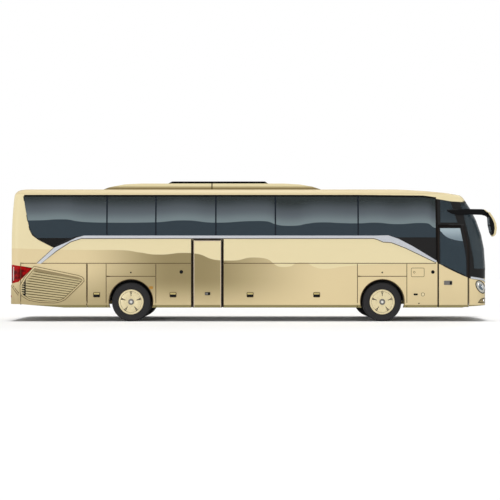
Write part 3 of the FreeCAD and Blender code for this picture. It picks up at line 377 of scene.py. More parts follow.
# %% [markdown]
# ## The unit on the roof and the lamps
# The long unit on the roof is cream at its top and olive at its foot, in two mouldings, with a black strip
# above. One material can do all of it by height. The red lamps are glossy plastic with fine upright ribs,
# which a wave in the bump gives without thousands of small faces. The mirror heads are black behind and
# champagne ahead, and the edge between the two is drawn along the head's front outline.

# %% Roof unit and red lamps
POD_SEAM = -1.145
STRIP_FOOT = 3.840
pod, tree, shader = material("roof_unit_paint", roughness=0.5, Specular_IOR_Level=0.06)
x, y, z, point = place(tree)
tone = mixed(tree, ramp(tree, z, 3.66, 3.79), colour(124, 108, 72), colour(224, 211, 168))
from_seam = maths(tree, "ABSOLUTE", maths(tree, "SUBTRACT", x, POD_SEAM))
tone = mixed(tree, ramp(tree, from_seam, 0.016, 0.024, 0.85, 0.0), tone, colour(74, 64, 40))
tone = mixed(tree, ramp(tree, z, STRIP_FOOT - 0.002, STRIP_FOOT + 0.002), tone, BLACK)
tree.links.new(tone, shader.inputs["Base Color"])
bumped(tree, shader, noise(tree, point, 90.0), 0.08, 0.001)
dress(pod, "roof_unit")


def ribbed_lamp(name, first, second, pitch):
    """Glossy lamp plastic with upright ribs and two tones that vary at random."""
    made, tree, shader = material(name, roughness=0.3, Specular_IOR_Level=0.06)
    x, y, z, point = place(tree)
    rib = tree.nodes.new("ShaderNodeTexWave")
    rib.inputs["Scale"].default_value = 1 / pitch
    rib.inputs["Distortion"].default_value = 0.0
    tree.links.new(point, rib.inputs["Vector"])
    tree.links.new(mixed(tree, ramp(tree, noise(tree, point, 7.0, 1.0), 0.42, 0.60), first, second),
                   shader.inputs["Base Color"])
    bumped(tree, shader, rib.outputs["Fac"], 0.3, 0.0015)
    return made


RED_LAMP = ribbed_lamp("red_lamp", colour(168, 3, 4), colour(92, 0, 2), 0.05)
AMBER_LAMP = ribbed_lamp("amber_lamp", colour(196, 160, 92), colour(180, 134, 66), 0.02)
MIRROR_EDGE = [(2.330, 6.600), (2.400, 6.677), (2.560, 6.702), (2.700, 6.683), (2.824, 6.630),
               (3.000, 6.513), (3.100, 6.400)]
mirror_paint, tree, shader = material("mirror_paint", roughness=0.4, Specular_IOR_Level=0.06)
x, y, z, point = place(tree)
ahead = maths(tree, "SUBTRACT", x, drawn_height(tree, z, MIRROR_EDGE, 6.3, 6.8, True))
grain = mixed(tree, noise(tree, point, 300.0), colour(12, 12, 13), colour(18, 18, 19))
face_tone = mixed(tree, ramp(tree, ahead, -0.062, -0.056), grain, colour(226, 210, 166))
tree.links.new(face_tone, shader.inputs["Base Color"])
dress(RED_LAMP, "tail_lamps")
dress(mirror_paint, "mirrors")
print("dressed the roof unit, the tail lamps and the mirrors")

# %% [markdown]
# ## Pieces from points
# Most added pieces are thin plates, strips and turned forms. Each is built from a list of points and faces,
# takes one or more materials, and rides on the body that carries it. A small bevel keeps edges from looking
# cut out of paper.

# %% A piece of mesh


def piece(name, points, faces, made, body="root", slot="black_plastic", tones=None, smooth=False, bevel=0.0):
    """A mesh piece that rides on a body; tones gives each face the number of its material."""
    mesh = bpy.data.meshes.new(name)
    mesh.from_pydata([tuple(p) for p in points], [], faces)
    for each in made if isinstance(made, list) else [made]:
        mesh.materials.append(each)
    if tones:
        mesh.polygons.foreach_set("material_index", tones)
    if smooth:
        mesh.shade_smooth()
    shaper = bmesh.new()
    shaper.from_mesh(mesh)
    bmesh.ops.recalc_face_normals(shaper, faces=shaper.faces)
    shaper.to_mesh(mesh)
    shaper.free()
    made_piece = bpy.data.objects.new(name, mesh)
    bpy.context.collection.objects.link(made_piece)
    if bevel:
        rounded = made_piece.modifiers.new("edges", "BEVEL")
        rounded.width, rounded.segments, rounded.limit_method = bevel, 2, "ANGLE"
    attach(made_piece, body)
    return made_piece


print("pieces can be made from points")

# %% [markdown]
# ## Strips and plates on a side wall
# The side of the coach is upright up to its belt, turns in a little at its foot and leans in towards the
# roof. A short formula gives half the width at any height, so strips and plates need only X and Z and follow
# the wall by themselves. Long runs are divided first, because a straight run would cut through a curved
# wall.

# %% Strips and plates
SIDE = 1.275
WORDS = {-1: "right", 1: "left"}


def wall(z):
    """Half the body's width at a height, as the panels are shaped."""
    return SIDE - 0.040 * max(0.0, (0.517 - z) / 0.14) ** 2 - max(0.0, z - 1.587) ** 2 / 40.0


def dense(points, longest=0.12):
    """The same line with long runs divided, so that it can follow a curved wall."""
    rows = [points[0]]
    for a, b in zip(points, points[1:]):
        count = max(1, math.ceil(math.dist(a, b) / longest))
        rows += [tuple(a[i] + (b[i] - a[i]) * k / count for i in range(len(a))) for k in range(1, count + 1)]
    return rows


def bar_faces(count, closed=False):
    """The faces of a bar with four points to a section: outer and inner at one edge, then at the other."""
    faces = []
    for k in range(count if closed else count - 1):
        a, b = 4 * k, 4 * ((k + 1) % count)
        faces += [(a, b, b + 2, a + 2), (a + 1, a + 3, b + 3, b + 1), (a, a + 1, b + 1, b),
                  (a + 2, b + 2, b + 3, a + 3)]
    if not closed:
        faces += [(0, 2, 3, 1), (4 * count - 4, 4 * count - 3, 4 * count - 1, 4 * count - 2)]
    return faces


def strip(name, line, width, made, side=-1, proud=0.002, deep=0.004, closed=False, **more):
    """A flat strip laid on a side wall along a line of X and Z."""
    line = dense(list(line) + ([line[0]] if closed else []))
    line = line[:-1] if closed else line
    count, points = len(line), []
    for k, spot in enumerate(line):
        before = line[(k - 1) % count] if closed or k else spot
        after = line[(k + 1) % count] if closed or k + 1 < count else spot
        a = Vector((spot[0] - before[0], spot[1] - before[1]))
        b = Vector((after[0] - spot[0], after[1] - spot[1]))
        a, b = (a or b).normalized(), (b or a).normalized()
        along = (a + b).normalized()
        across = Vector((-along.y, along.x)) * (width / 2 / max(0.5, along.dot(a)))
        for s in (1, -1):
            x, z = spot[0] + s * across.x, spot[1] + s * across.y
            points += [(x, side * (wall(z) + proud), z), (x, side * (wall(z) - deep), z)]
    return piece(name, points, bar_faces(count, closed), made, **more)


def plate(name, outline, made, side=-1, proud=0.003, deep=0.006, **more):
    """A flat plate on a side wall, from its outline in X and Z."""
    count = len(outline)
    points = [(x, side * (wall(z) + proud), z) for x, z in outline]
    points += [(x, side * (wall(z) - deep), z) for x, z in outline]
    faces = [tuple(range(count)), tuple(range(2 * count - 1, count - 1, -1))]
    faces += [(k, (k + 1) % count, (k + 1) % count + count, k + count) for k in range(count)]
    return piece(name, points, faces, made, **more)


print("half the width is", SIDE, "m at the belt and", round(wall(3.4), 3), "m under the roof")

# %% [markdown]
# ## Outlines, blocks and turned forms
# Round buttons, rounded covers, hatches and wheels come back all over the coach. An outline is a list of
# points, a block has softened edges, and a turned form is a profile led round an axis, as on a lathe.

# %% Outlines, blocks and turned forms


def circle(x, z, radius, steps=24, low=0, high=360):
    """A circle of points, or an arc between two angles in degrees."""
    turns = [math.radians(low + (high - low) * k / steps) for k in range(steps + (high - low < 360))]
    return [(x + radius * math.cos(t), z + radius * math.sin(t)) for t in turns]


def rectangle(x0, x1, z0, z1, corner=0.0):
    """An outline with rounded corners."""
    if not corner:
        return [(x0, z0), (x1, z0), (x1, z1), (x0, z1)]
    rows = []
    middles = ((x1 - corner, z1 - corner), (x0 + corner, z1 - corner), (x0 + corner, z0 + corner),
               (x1 - corner, z0 + corner))
    for number, (x, z) in enumerate(middles):
        rows += circle(x, z, corner, 4, 90 * number, 90 * number + 90)
    return rows


def slab(name, low, high, made, bevel=0.003, **more):
    """A block between two corners, with softened edges."""
    (x0, y0, z0), (x1, y1, z1) = low, high
    points = [(x, y, z) for x in (x0, x1) for y in (y0, y1) for z in (z0, z1)]
    faces = [(0, 1, 3, 2), (4, 6, 7, 5), (0, 4, 5, 1), (2, 3, 7, 6), (0, 2, 6, 4), (1, 5, 7, 3)]
    return piece(name, points, faces, made, bevel=bevel, **more)


def spun(name, profile, centre, axis, made, steps=48, tones=None, shape=None, **more):
    """A profile of distance and radius turned round an axis.

    shape can change both by row and step, and tones gives each face the number of its material.
    """
    axis = Vector(axis).normalized()
    first = axis.orthogonal().normalized() if abs(axis.y) < 0.9 else Vector((0, 0, -1))
    second = axis.cross(first)
    points, faces, numbers = [], [], []
    for k in range(steps):
        turn = 2 * math.pi * k / steps
        for row, (along, radius) in enumerate(profile):
            if shape:
                along, radius = shape(row, k, along, radius)
            away = first * math.cos(turn) + second * math.sin(turn)
            points.append(Vector(centre) + axis * along + away * radius)
    size = len(profile)
    for k in range(steps):
        for row in range(size - 1):
            a, b = k * size + row, ((k + 1) % steps) * size + row
            faces.append((a, b, b + 1, a + 1))
            numbers.append(tones(row, k) if tones else 0)
    return piece(name, points, faces, made, tones=numbers, smooth=True, **more)


print("a circle has", len(circle(0, 0, 1)), "points unless told otherwise")

# %% [markdown]
# ## Tyres with a tread
# Coach tyres have upright grooves round a flat tread and small blocks along the shoulder. A groove painted
# in the material would vanish at the edge of the tyre, so the profile itself goes down into each groove, and
# the rows at the shoulder are pulled in at every third step to part the blocks. Each tyre stands for its
# plain solid.

# %% Tyres
AXLES = {"front": 3.5605, "rear": -3.3505}
RADIUS, TRACK, TWIN_STEP = 0.535, 1.090, 0.34
TYRE_STEPS = 108
RUBBER = grained("tyre_rubber", colour(32, 31, 33), colour(42, 41, 42), 300.0, 0.78, bump=0.25,
                 Specular_IOR_Level=0.3)
TREAD = [(-0.122, 0.290), (-0.127, 0.300), (-0.131, 0.318), (-0.136, 0.332), (-0.137, 0.336), (-0.143, 0.380),
         (-0.149, 0.425), (-0.150, 0.432), (-0.149, 0.438), (-0.149, 0.468), (-0.146, 0.500), (-0.139, 0.521),
         (-0.128, 0.532), (-0.100, 0.535)]
FLANK = len(TREAD)
GROOVE_FOOT = 0.521
for middle in (-0.078, -0.026, 0.026, 0.078):
    TREAD += [(middle - 0.008, RADIUS), (middle - 0.005, GROOVE_FOOT), (middle + 0.005, GROOVE_FOOT),
              (middle + 0.008, RADIUS)]
TREAD += [(-a, r) for a, r in reversed(TREAD[:FLANK])]
SHOULDER = {10, 11, 12, len(TREAD) - 13, len(TREAD) - 12, len(TREAD) - 11}


def blocks(row, k, along, radius):
    """Pulls the shoulder in at every third step, which parts it into blocks."""
    return along, radius - (0.006 if row in SHOULDER and k % 3 == 0 else 0.0)


for side, word in ((1, "left"), (-1, "right")):
    single = spun(f"tyre_tread_front_{word}", TREAD, (AXLES["front"], side * TRACK, RADIUS), (0, 1, 0),
                  RUBBER, TYRE_STEPS, shape=blocks, body=f"front_wheel_{word}", slot="tyre_rubber")
    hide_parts(f"tyre_front_{word}")
    for number in range(2):
        across = side * (TRACK - number * TWIN_STEP)
        twin = spun(f"tyre_tread_rear_{word}_{number}", TREAD, (AXLES["rear"], across, RADIUS), (0, 1, 0),
                    RUBBER, TYRE_STEPS, shape=blocks, body=f"rear_wheels_{word}", slot="tyre_rubber")
        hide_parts(f"tyres_rear_{word}")
print("six tyres of", TYRE_STEPS * (len(TREAD) - 1), "faces")

# %% [markdown]
# ## Wheel covers
# Each wheel has a champagne cover with a raised outer ring, a fine groove inside it, five petals parted by
# slots that widen towards the rim, and a grey hub ring round a pale centre. The groove and the slots are
# dark with painted shade. It is one grid of rings and angles, whose depth is a function of both: petals
# crown gently, and the faces in a slot lie deeper and are dark.

# %% Wheel covers
COVER_PAINT = grained("cover_paint", colour(232, 218, 176), colour(222, 206, 162), 40.0, 0.4, 0.1, 0.03,
                      Coat_Weight=0.1)
HUB_GREY = grained("hub_grey", colour(120, 118, 114), colour(98, 96, 92), 60.0, 0.4, 0.5, 0.05)
HUB_WHITE = grained("hub_white", colour(236, 234, 228), colour(220, 218, 210), 60.0, 0.4)
dress(COVER_PAINT, "wheel_front_left", "wheel_front_right", "wheels_rear_left", "wheels_rear_right")
COVER_ROWS = [(0.0, 0.020), (0.030, 0.021), (0.036, 0.018), (0.044, 0.022), (0.076, 0.022), (0.082, 0.010),
              (0.096, 0.008), (0.120, 0.012), (0.160, 0.018), (0.192, 0.020), (0.215, 0.020), (0.240, 0.018),
              (0.272, 0.012), (0.286, 0.007), (0.292, 0.012), (0.304, 0.015), (0.325, 0.014), (0.338, 0.009),
              (0.344, 0.000), (0.344, -0.012)]
COVER_PLANE = 0.155
COVER_TONES = [COVER_PAINT, HUB_GREY, HUB_WHITE, BLACK_PLASTIC, SEAM]
# The dark faces in the slots and the dark groove ring are painted shade.
PETAL, HUB, CENTRE, SHADED_SLOT, SHADED_GROOVE = range(5)
PETALS, COVER_STEPS, SLOT_DEPTH = 5, 120, 0.016


def slot_depth(row, k):
    """How deep in a slot a point of the cover lies, from 0 on the petals to 1."""
    radius = COVER_ROWS[row][0]
    if not 0.13 < radius < 0.290:
        return 0.0
    offset = 2 * math.pi * k / COVER_STEPS % (2 * math.pi / PETALS) - math.pi / PETALS
    half = 0.008 + 0.22 * max(0.0, radius - 0.190)
    return max(0.0, min(1.0, (half - abs(offset) * radius) / 0.006))


def cover_shape(row, k, along, radius):
    """Sinks the cover where a slot lies."""
    return along - SLOT_DEPTH * slot_depth(row, k), radius


def cover_tone(row, k):
    """Which of the cover's materials a face has."""
    radius = COVER_ROWS[row + 1][0]
    if radius <= 0.036:
        return CENTRE
    if radius <= 0.082:
        return HUB
    if 0.288 < radius < 0.300:
        return SHADED_GROOVE
    corners = [slot_depth(r, s % COVER_STEPS) for r in (row, row + 1) for s in (k, k + 1)]
    return SHADED_SLOT if sum(corners) > 1.6 else PETAL


for axle, word_of_body in (("front", "front_wheel"), ("rear", "rear_wheels")):
    for side, word in ((1, "left"), (-1, "right")):
        rows = [(COVER_PLANE + depth, radius) for radius, depth in COVER_ROWS]
        spun(f"cover_{axle}_{word}", rows, (AXLES[axle], side * TRACK, RADIUS), (0, side, 0), COVER_TONES,
             COVER_STEPS, shape=cover_shape, tones=cover_tone, body=f"{word_of_body}_{word}",
             slot="wheel_paint")
print("four covers with", PETALS, "petals each")

# %% [markdown]
# ## Padded seats
# A coach seat is foam under fabric: crowned in the middle and pulled in along its edges. Modelling that by
# hand is slow, so one pair of seats is made as plain closed pads, rebuilt with even faces, and inflated by a
# short cloth simulation. How far a point may move is capped, and the result is thinned out and copied to
# every place, since two dozen pairs would otherwise be heavy.

# %% Seat fabric
FABRIC, tree, shader = material("seat_fabric", roughness=0.9, Sheen_Weight=0.35, Sheen_Roughness=0.5)
x, y, z, point = place(tree)
weave = tree.nodes.new("ShaderNodeTexChecker")
weave.inputs["Scale"].default_value = 420.0
tree.links.new(point, weave.inputs["Vector"])
fleck = noise(tree, point, 28.0, 2.0)
cloth_tone = mixed(tree, ramp(tree, fleck, 0.45, 0.60), colour(54, 58, 72), colour(74, 78, 92))
cloth_tone = mixed(tree, maths(tree, "MULTIPLY", weave.outputs["Fac"], 0.25), cloth_tone, colour(34, 36, 46))
tree.links.new(cloth_tone, shader.inputs["Base Color"])
bumped(tree, shader, weave.outputs["Fac"], 0.2, 0.0006)
print("seat fabric with a fleck and a weave")

# %% The plain form of a pad


def pad_form(profile, y0, y1, inset=0.018):
    """A closed pad from its side outline, narrower at its two ends so that it swells to full width."""
    centre = Vector((sum(p[0] for p in profile), sum(p[1] for p in profile))) / len(profile)
    rows, faces, count = [], [], len(profile)
    for y, shrink in ((y0, 0.80), (y0 + inset, 0.97), (y1 - inset, 0.97), (y1, 0.80)):
        for spot in profile:
            moved = centre + (Vector(spot) - centre) * shrink
            rows.append((moved.x, y, moved.y))
    for ring in range(3):
        for k in range(count):
            a, b = ring * count + k, ring * count + (k + 1) % count
            faces.append((a, b, b + count, a + count))
    return rows, faces + [tuple(range(count))[::-1], tuple(range(3 * count, 4 * count))]


CUSHION = [(0.075, 0.318), (0.440, 0.318), (0.462, 0.350), (0.462, 0.395), (0.430, 0.418), (0.100, 0.424)]
BACK = [(-0.045, 0.440), (0.060, 0.452), (0.050, 0.560), (0.015, 0.760), (-0.020, 0.880), (-0.110, 0.900),
        (-0.135, 0.760)]
HEAD = [(-0.118, 0.915), (-0.040, 0.905), (-0.090, 1.105), (-0.190, 1.115)]


print("a seat has three pads, its cushion being", round(CUSHION[2][0] - CUSHION[0][0], 3), "m deep")

# %% Pads inflated by cloth
AIR_PRESSURE, CLOTH_STEPS, KEPT_FACES = 4.0, 20, 0.30
VOXEL, FARTHEST = 0.015, 0.022


def inflated(name, width, places):
    """Pads for seats of one width, joined, remeshed, inflated by cloth and thinned out."""
    points, faces = [], []
    for y0 in places:
        for profile, pull in ((CUSHION, 0.0), (BACK, 0.0), (HEAD, 0.06)):
            rows, sides = pad_form(profile, y0 + pull, y0 + width - pull)
            faces += [tuple(len(points) + i for i in face) for face in sides]
            points += rows
    mesh = bpy.data.meshes.new(name)
    mesh.from_pydata(points, [], faces)
    pad = bpy.data.objects.new(name, mesh)
    bpy.context.collection.objects.link(pad)
    remesh = pad.modifiers.new("even", "REMESH")
    remesh.mode, remesh.voxel_size = "VOXEL", VOXEL
    pad.data = bpy.data.meshes.new_from_object(pad.evaluated_get(bpy.context.evaluated_depsgraph_get()))
    pad.modifiers.clear()
    start = [v.co.copy() for v in pad.data.vertices]
    cloth = pad.modifiers.new("air", "CLOTH")
    cloth.settings.use_pressure, cloth.settings.uniform_pressure_force = True, AIR_PRESSURE
    cloth.settings.effector_weights.gravity = 0.0
    cloth.settings.quality = 4
    for number in range(1, CLOTH_STEPS + 1):
        bpy.context.scene.frame_set(number)
    pad.data = bpy.data.meshes.new_from_object(pad.evaluated_get(bpy.context.evaluated_depsgraph_get()))
    pad.modifiers.clear()
    bpy.context.scene.frame_set(1)
    for vertex, rest in zip(pad.data.vertices, start):
        move = vertex.co - rest
        vertex.co = rest + move * min(1.0, FARTHEST / max(move.length, 1e-6))
    thin = pad.modifiers.new("thin", "DECIMATE")
    thin.ratio = KEPT_FACES
    pad.data = bpy.data.meshes.new_from_object(pad.evaluated_get(bpy.context.evaluated_depsgraph_get()))
    pad.modifiers.clear()
    pad.data.shade_smooth()
    pad.data.materials.append(FABRIC)
    bpy.context.collection.objects.unlink(pad)
    return pad.data


print("a pad's points may move by", FARTHEST, "m at most")

# %% Seats in their rows


def seat_piece(name, form, x, y, level):
    """A copy of the pads at a seat's place."""
    placed = form.copy()
    placed.transform(Matrix.Translation((x, y, level)))
    made_seat = bpy.data.objects.new(name, placed)
    bpy.context.collection.objects.link(made_seat)
    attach(made_seat, "root")
    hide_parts("seats")


PAIR = inflated("pair_form", 0.44, (0.022, 0.478))
SINGLE = inflated("single_form", 0.47, (0.025,))
DECK, PLATFORM = 1.650, 1.250
ROWS, FIRST_ROW, PITCH = 13, -5.7725, 0.83
LEFT_BENCH, RIGHT_BENCH = 0.225, -1.165
STAIR_REAR, STAIR_FRONT = -2.1855, -0.5855
DRIVER_X, DRIVER_Y = 5.1305, 0.36
seat_count = 0
for row in range(ROWS):
    x = FIRST_ROW + PITCH * row
    for y0, free in ((LEFT_BENCH, True), (RIGHT_BENCH, not STAIR_REAR < x < STAIR_FRONT)):
        if free:
            seat_piece(f"seat_pair_{seat_count}", PAIR, x, y0, DECK)
            seat_count += 1
seat_piece("driver_seat", SINGLE, DRIVER_X, DRIVER_Y, PLATFORM)
print(seat_count, "pairs of seats of", len(PAIR.polygons), "faces and a driver's seat")

# %% [markdown]
# ## Seams of the flaps and doors
# The flaps along the sides meet in narrow gaps sealed by rubber, which show as fine dark lines. A drawn line
# would miss the small step, so each seal is a thin strip. The long one along the heads of the flaps stays
# with the body, and the upright ones sit on the edges of the flaps and move with them. Each wheel arch has a
# lip and a small keyed panel over it.

# %% Seams
TOP_SEAL, FLAP_HEAD, WALL_FOOT, ARCH_SEAM = 1.5975, 1.578, 0.40, 1.240
ARCH = 0.674
REAR_SEAM, NARROW, ARCH_REAR = -6.3925, -4.5615, -4.0245
ARCH_MID, MID_REAR, MID_FRONT = -2.6765, -1.6755, -0.8255
MAIN_FRONT, ARCH_FRONT, DOOR_REAR, DOOR_FRONT = 2.8865, 4.2345, 5.0735, 5.9535
SEAM_LINES = {-1: [(REAR_SEAM, MID_REAR - 0.02), (MID_FRONT + 0.02, DOOR_REAR - 0.03)],
              1: [(REAR_SEAM, DOOR_FRONT - 0.02)]}
for side, spans in SEAM_LINES.items():
    for number, (x0, x1) in enumerate(spans):
        strip(f"top_seal_{WORDS[side]}_{number}", [(x0, TOP_SEAL), (x1, TOP_SEAL)], 0.019, SEAM, side)
FLAPS = {-1: [("rear", REAR_SEAM, NARROW), ("narrow", NARROW, ARCH_REAR), ("mid", ARCH_MID, MID_REAR),
              ("main", MID_FRONT, MAIN_FRONT)],
         1: [("rear", REAR_SEAM, ARCH_REAR), ("mid", ARCH_MID, MID_FRONT), ("main", MID_FRONT, MAIN_FRONT)]}
seals = 0
for side, rows in FLAPS.items():
    word = WORDS[side]
    for name, x0, x1 in rows:
        foot = 0.46 if name == "rear" else WALL_FOOT
        for edge, x in (("a", x0 + 0.012), ("b", x1 - 0.012)):
            strip(f"flap_seal_{word}_{name}_{edge}", [(x, foot), (x, FLAP_HEAD)], 0.014, SEAM, side, 0.0012,
                  body=f"flap_{word}_{name}")
            seals += 1
    for number, centre in enumerate((AXLES["rear"], AXLES["front"])):
        ends = (centre - ARCH + 0.004, centre + ARCH - 0.004)
        strip(f"arch_seam_{word}_{number}", [(x, ARCH_SEAM) for x in ends], 0.018, SEAM, side, 0.0012)
        arch = circle(centre, 0.550, 0.607, 40, -14, 194)
        strip(f"arch_lip_{word}_{number}", arch, 0.016, SEAM, side, 0.003)
        plate(f"arch_key_{word}_{number}", circle(centre - 0.004, 1.345, 0.022, 16), BLACK_PLASTIC, side)
for side, word in WORDS.items():
    strip(f"front_seam_{word}", [(ARCH_FRONT, WALL_FOOT), (ARCH_FRONT, 1.585)], 0.018, SEAM, side, 0.0012)
print(seals, "seals on the flaps")

# %% [markdown]
# ## Handles, marker lamps and the fuel flap
# Every flap has a recessed handle: a dark cup with a champagne grip along its top. Round dark buttons, an
# amber marker lamp and a fuel flap with its ring sit between them. All are small plates with softened edges,
# placed where the photograph shows them and the same on the far side.

# %% Side furniture
GRIP = grained("handle_grip", colour(204, 188, 128), colour(190, 172, 112), 80.0, 0.5, Specular_IOR_Level=0.2)


def handle(name, x, z, side, body):
    """A recessed handle: a dark cup, a grip along its top and a fine rim."""
    cup = rectangle(x - 0.085, x + 0.085, z - 0.065, z + 0.060, 0.02)
    plate(f"{name}_cup", cup, BLACK_PLASTIC, side, 0.002, body=body)
    grip = rectangle(x - 0.078, x + 0.078, z + 0.005, z + 0.055, 0.012)
    plate(f"{name}_grip", grip, GRIP, side, 0.010, body=body, slot="wheel_paint", bevel=0.003)
    rim = rectangle(x - 0.090, x + 0.090, z - 0.070, z + 0.065, 0.024)
    strip(f"{name}_rim", rim, 0.008, SEAM, side, 0.004, closed=True, body=body)


def disc(name, x, z, radius, made, side, body="root", proud=0.008):
    """A round button with a softened edge."""
    spun(name, [(0.0, 0.0), (0.0, radius * 0.6), (-0.002, radius * 0.9), (-0.006, radius), (-0.014, radius)],
         (x, side * (wall(z) + proud), z), (0, side, 0), made, 20, body=body)


HANDLE_Z, CAP_X, CAP_Z = 0.735, 4.678, 0.742
HANDLES = {-1: [("narrow", -4.295), ("main", -0.075), ("main", 1.755), ("mid", -2.195)],
           1: [("rear", -4.780), ("main", -0.075), ("main", 1.755), ("mid", -2.195)]}
for side, rows in HANDLES.items():
    word = WORDS[side]
    for number, (name, x) in enumerate(rows):
        handle(f"handle_{word}_{number}", x, HANDLE_Z, side, f"flap_{word}_{name}")
    disc(f"button_{word}_0", -1.967, 1.361, 0.050, BLACK_PLASTIC, side, f"flap_{word}_mid")
    disc(f"button_{word}_1", 4.950, 1.358, 0.050, BLACK_PLASTIC, side)
    disc(f"cap_{word}", CAP_X, CAP_Z, 0.040, COVER_PAINT, side)
    strip(f"cap_ring_{word}", circle(CAP_X, CAP_Z, 0.046, 20), 0.010, SEAM, side, 0.003, closed=True)
    filler = rectangle(4.420, 4.536, 0.716, 0.768, 0.02)
    plate(f"filler_{word}", filler, BLACK_PLASTIC, side, 0.004, bevel=0.002)
    disc(f"peg_{word}", 4.567, 0.495, 0.018, BLACK_PLASTIC, side)
    marker = rectangle(-2.855, -2.745, 0.890, 0.968, 0.02)
    plate(f"marker_{word}", marker, AMBER_LAMP, side, 0.008, slot="red_lamp", bevel=0.004)
    fuel_flap = rectangle(4.356, 4.712, 1.229, 1.468, 0.03)
    strip(f"fuel_flap_{word}", fuel_flap, 0.011, SEAM, side, 0.0015, closed=True)
    strip(f"fuel_ring_{word}", circle(4.437, 1.350, 0.026, 16), 0.010, SEAM, side, 0.003, closed=True)
print("handles, buttons and markers on both sides")

# %% [markdown]
# ## Side grilles over the engine
# A large leaf-shaped grille breathes for the engine on each side. Its backing is an olive plate, painted
# shade between the slats, with a band of painted shade along its edge under a pale rim, a brow of painted
# shade along its upper edge and, at the rear, a dark pocket with short teeth.
# Each slat is its own thin bar, clipped to the grille's outline, so the light catches its upper edge as on
# the real one.

# %% Side grilles
LEAF = [(-6.007, 1.488), (-4.800, 1.238), (-4.715, 1.205), (-4.672, 1.160), (-4.666, 1.115),
        (-4.715, 1.060), (-5.185, 0.610), (-5.320, 0.556), (-5.454, 0.531), (-5.848, 0.547), (-6.022, 0.578),
        (-6.164, 0.610), (-6.337, 0.720), (-6.370, 0.800), (-6.372, 0.990), (-6.250, 1.200)]
LEAF_BROW_SHADE = [(-5.990, 1.472), (-4.800, 1.226), (-4.725, 1.196), (-4.700, 1.165), (-4.800, 1.150),
             (-6.040, 1.392), (-6.100, 1.404)]
LEAF_POCKET = [(-6.244, 1.190), (-6.244, 0.690), (-6.300, 0.720), (-6.352, 0.800), (-6.354, 0.985),
               (-6.300, 1.100)]
SLATS, LEAF_X, SLAT_HEAD, SLAT_STEP, SLAT_FALL, SHORTEST_SLAT = 13, -5.5, 1.392, 0.068, -0.176, 0.15
# The olive backing is painted shade between the slats and along the grille's edge.
OLIVE_SHADE = grained("grille_olive_shade", colour(112, 98, 62), colour(92, 80, 50), 90.0, 0.6, Specular_IOR_Level=0.2)
# The brow is a band of painted shade under the grille's upper rim; the fog lamps' panels take the same
# colour.
BROW = grained("grille_brow", colour(160, 144, 106), colour(146, 130, 94), 90.0, 0.6, Specular_IOR_Level=0.2)
SLAT = grained("grille_slat", colour(208, 193, 150), colour(194, 178, 134), 60.0, 0.5, Specular_IOR_Level=0.2)


def slat_height(k, x):
    """The height of a slat's middle at X: each lies lower than the one before and falls a little less."""
    return SLAT_HEAD - SLAT_STEP * k + (SLAT_FALL + 0.006 * k) * (x - LEAF_X)


def crossing(outline, k):
    """The lowest and the highest X at which a slat's middle crosses an outline, or nothing."""
    spots = []
    for (xa, za), (xb, zb) in zip(outline, outline[1:] + outline[:1]):
        a, b = za - slat_height(k, xa), zb - slat_height(k, xb)
        if a * b < 0:
            spots.append(xa + (xb - xa) * a / (a - b))
    return (min(spots), max(spots)) if len(spots) > 1 else None


slats = 0
for side, word in WORDS.items():
    flap = {"body": f"flap_{word}_rear"}
    painted_flap = {"body": f"flap_{word}_rear", "slot": "body_paint"}
    # Painted shade: the olive backing, the olive edge band and the darker brow.
    plate(f"grille_back_{word}", LEAF, OLIVE_SHADE, side, 0.0015, **flap)
    strip(f"grille_shade_{word}", LEAF, 0.066, OLIVE_SHADE, side, 0.010, closed=True, **painted_flap)
    strip(f"grille_rim_{word}", LEAF, 0.036, PAINT, side, 0.013, closed=True, bevel=0.003, **painted_flap)
    plate(f"grille_brow_{word}", LEAF_BROW_SHADE, BROW, side, 0.0105, **painted_flap)
    plate(f"grille_dark_{word}", LEAF_POCKET, BLACK_PLASTIC, side, 0.0105, **flap)
    for k in range(6):
        low, rear = 0.775 + 0.062 * k, -6.350 + 0.02 * (k > 4)
        strip(f"grille_tooth_{word}_{k}", [(rear, low + 0.014), (-6.276, low)], 0.018, SLAT, side, 0.0120,
              **painted_flap)
    for k in range(SLATS):
        ends = crossing(LEAF, k)
        if not ends or ends[1] - ends[0] < SHORTEST_SLAT:
            continue
        line = [(x, slat_height(k, x)) for x in (ends[0] + 0.012, ends[1] - 0.012)]
        strip(f"slat_{word}_{k}", line, 0.044, SLAT, side, 0.009, bevel=0.002, **painted_flap)
        slats += 1
print(slats, "slats in two grilles")

# %% [markdown]
# ## Finding the curved skin
# At the front the skin bends in two directions, so a piece there can't be placed by a formula. A ray shot at
# the panels from outside gives the point and the direction of the surface, and lines of such points carry
# the wipers, the frames of the doors and the trims of the lamps.

# %% Rays at the skin
skin_points, skin_faces = [], []
for name in PAINTED + ["windows", "windscreen", "front_door_glass", "headlamps", "tail_lamps"]:
    mesh, base = NODES[name].data, len(skin_points)
    skin_points += [v.co.copy() for v in mesh.vertices]
    skin_faces += [[base + i for i in p.vertices] for p in mesh.polygons]
SKIN = BVHTree.FromPolygons(skin_points, skin_faces)
BESIDE, AHEAD, BEHIND = 2.2, 7.6, -7.6


def struck(start, towards):
    """The first point of the skin along a ray, and the surface's direction there."""
    spot, normal = SKIN.ray_cast(Vector(start), Vector(towards).normalized())[:2]
    if spot is None:
        return None
    return (spot, -normal) if normal.dot(Vector(towards)) > 0 else (spot, normal)


def side_spot(x, z, side=-1):
    """The skin of one side at X and Z."""
    return struck((x, side * BESIDE, z), (0, -side, 0))


def front_spot(y, z):
    """The skin of the front at Y and Z."""
    return struck((AHEAD, y, z), (-1, 0, 0))


def rear_spot(y, z):
    """The skin of the rear at Y and Z."""
    return struck((BEHIND, y, z), (1, 0, 0))


print("skin of", len(skin_faces), "faces")

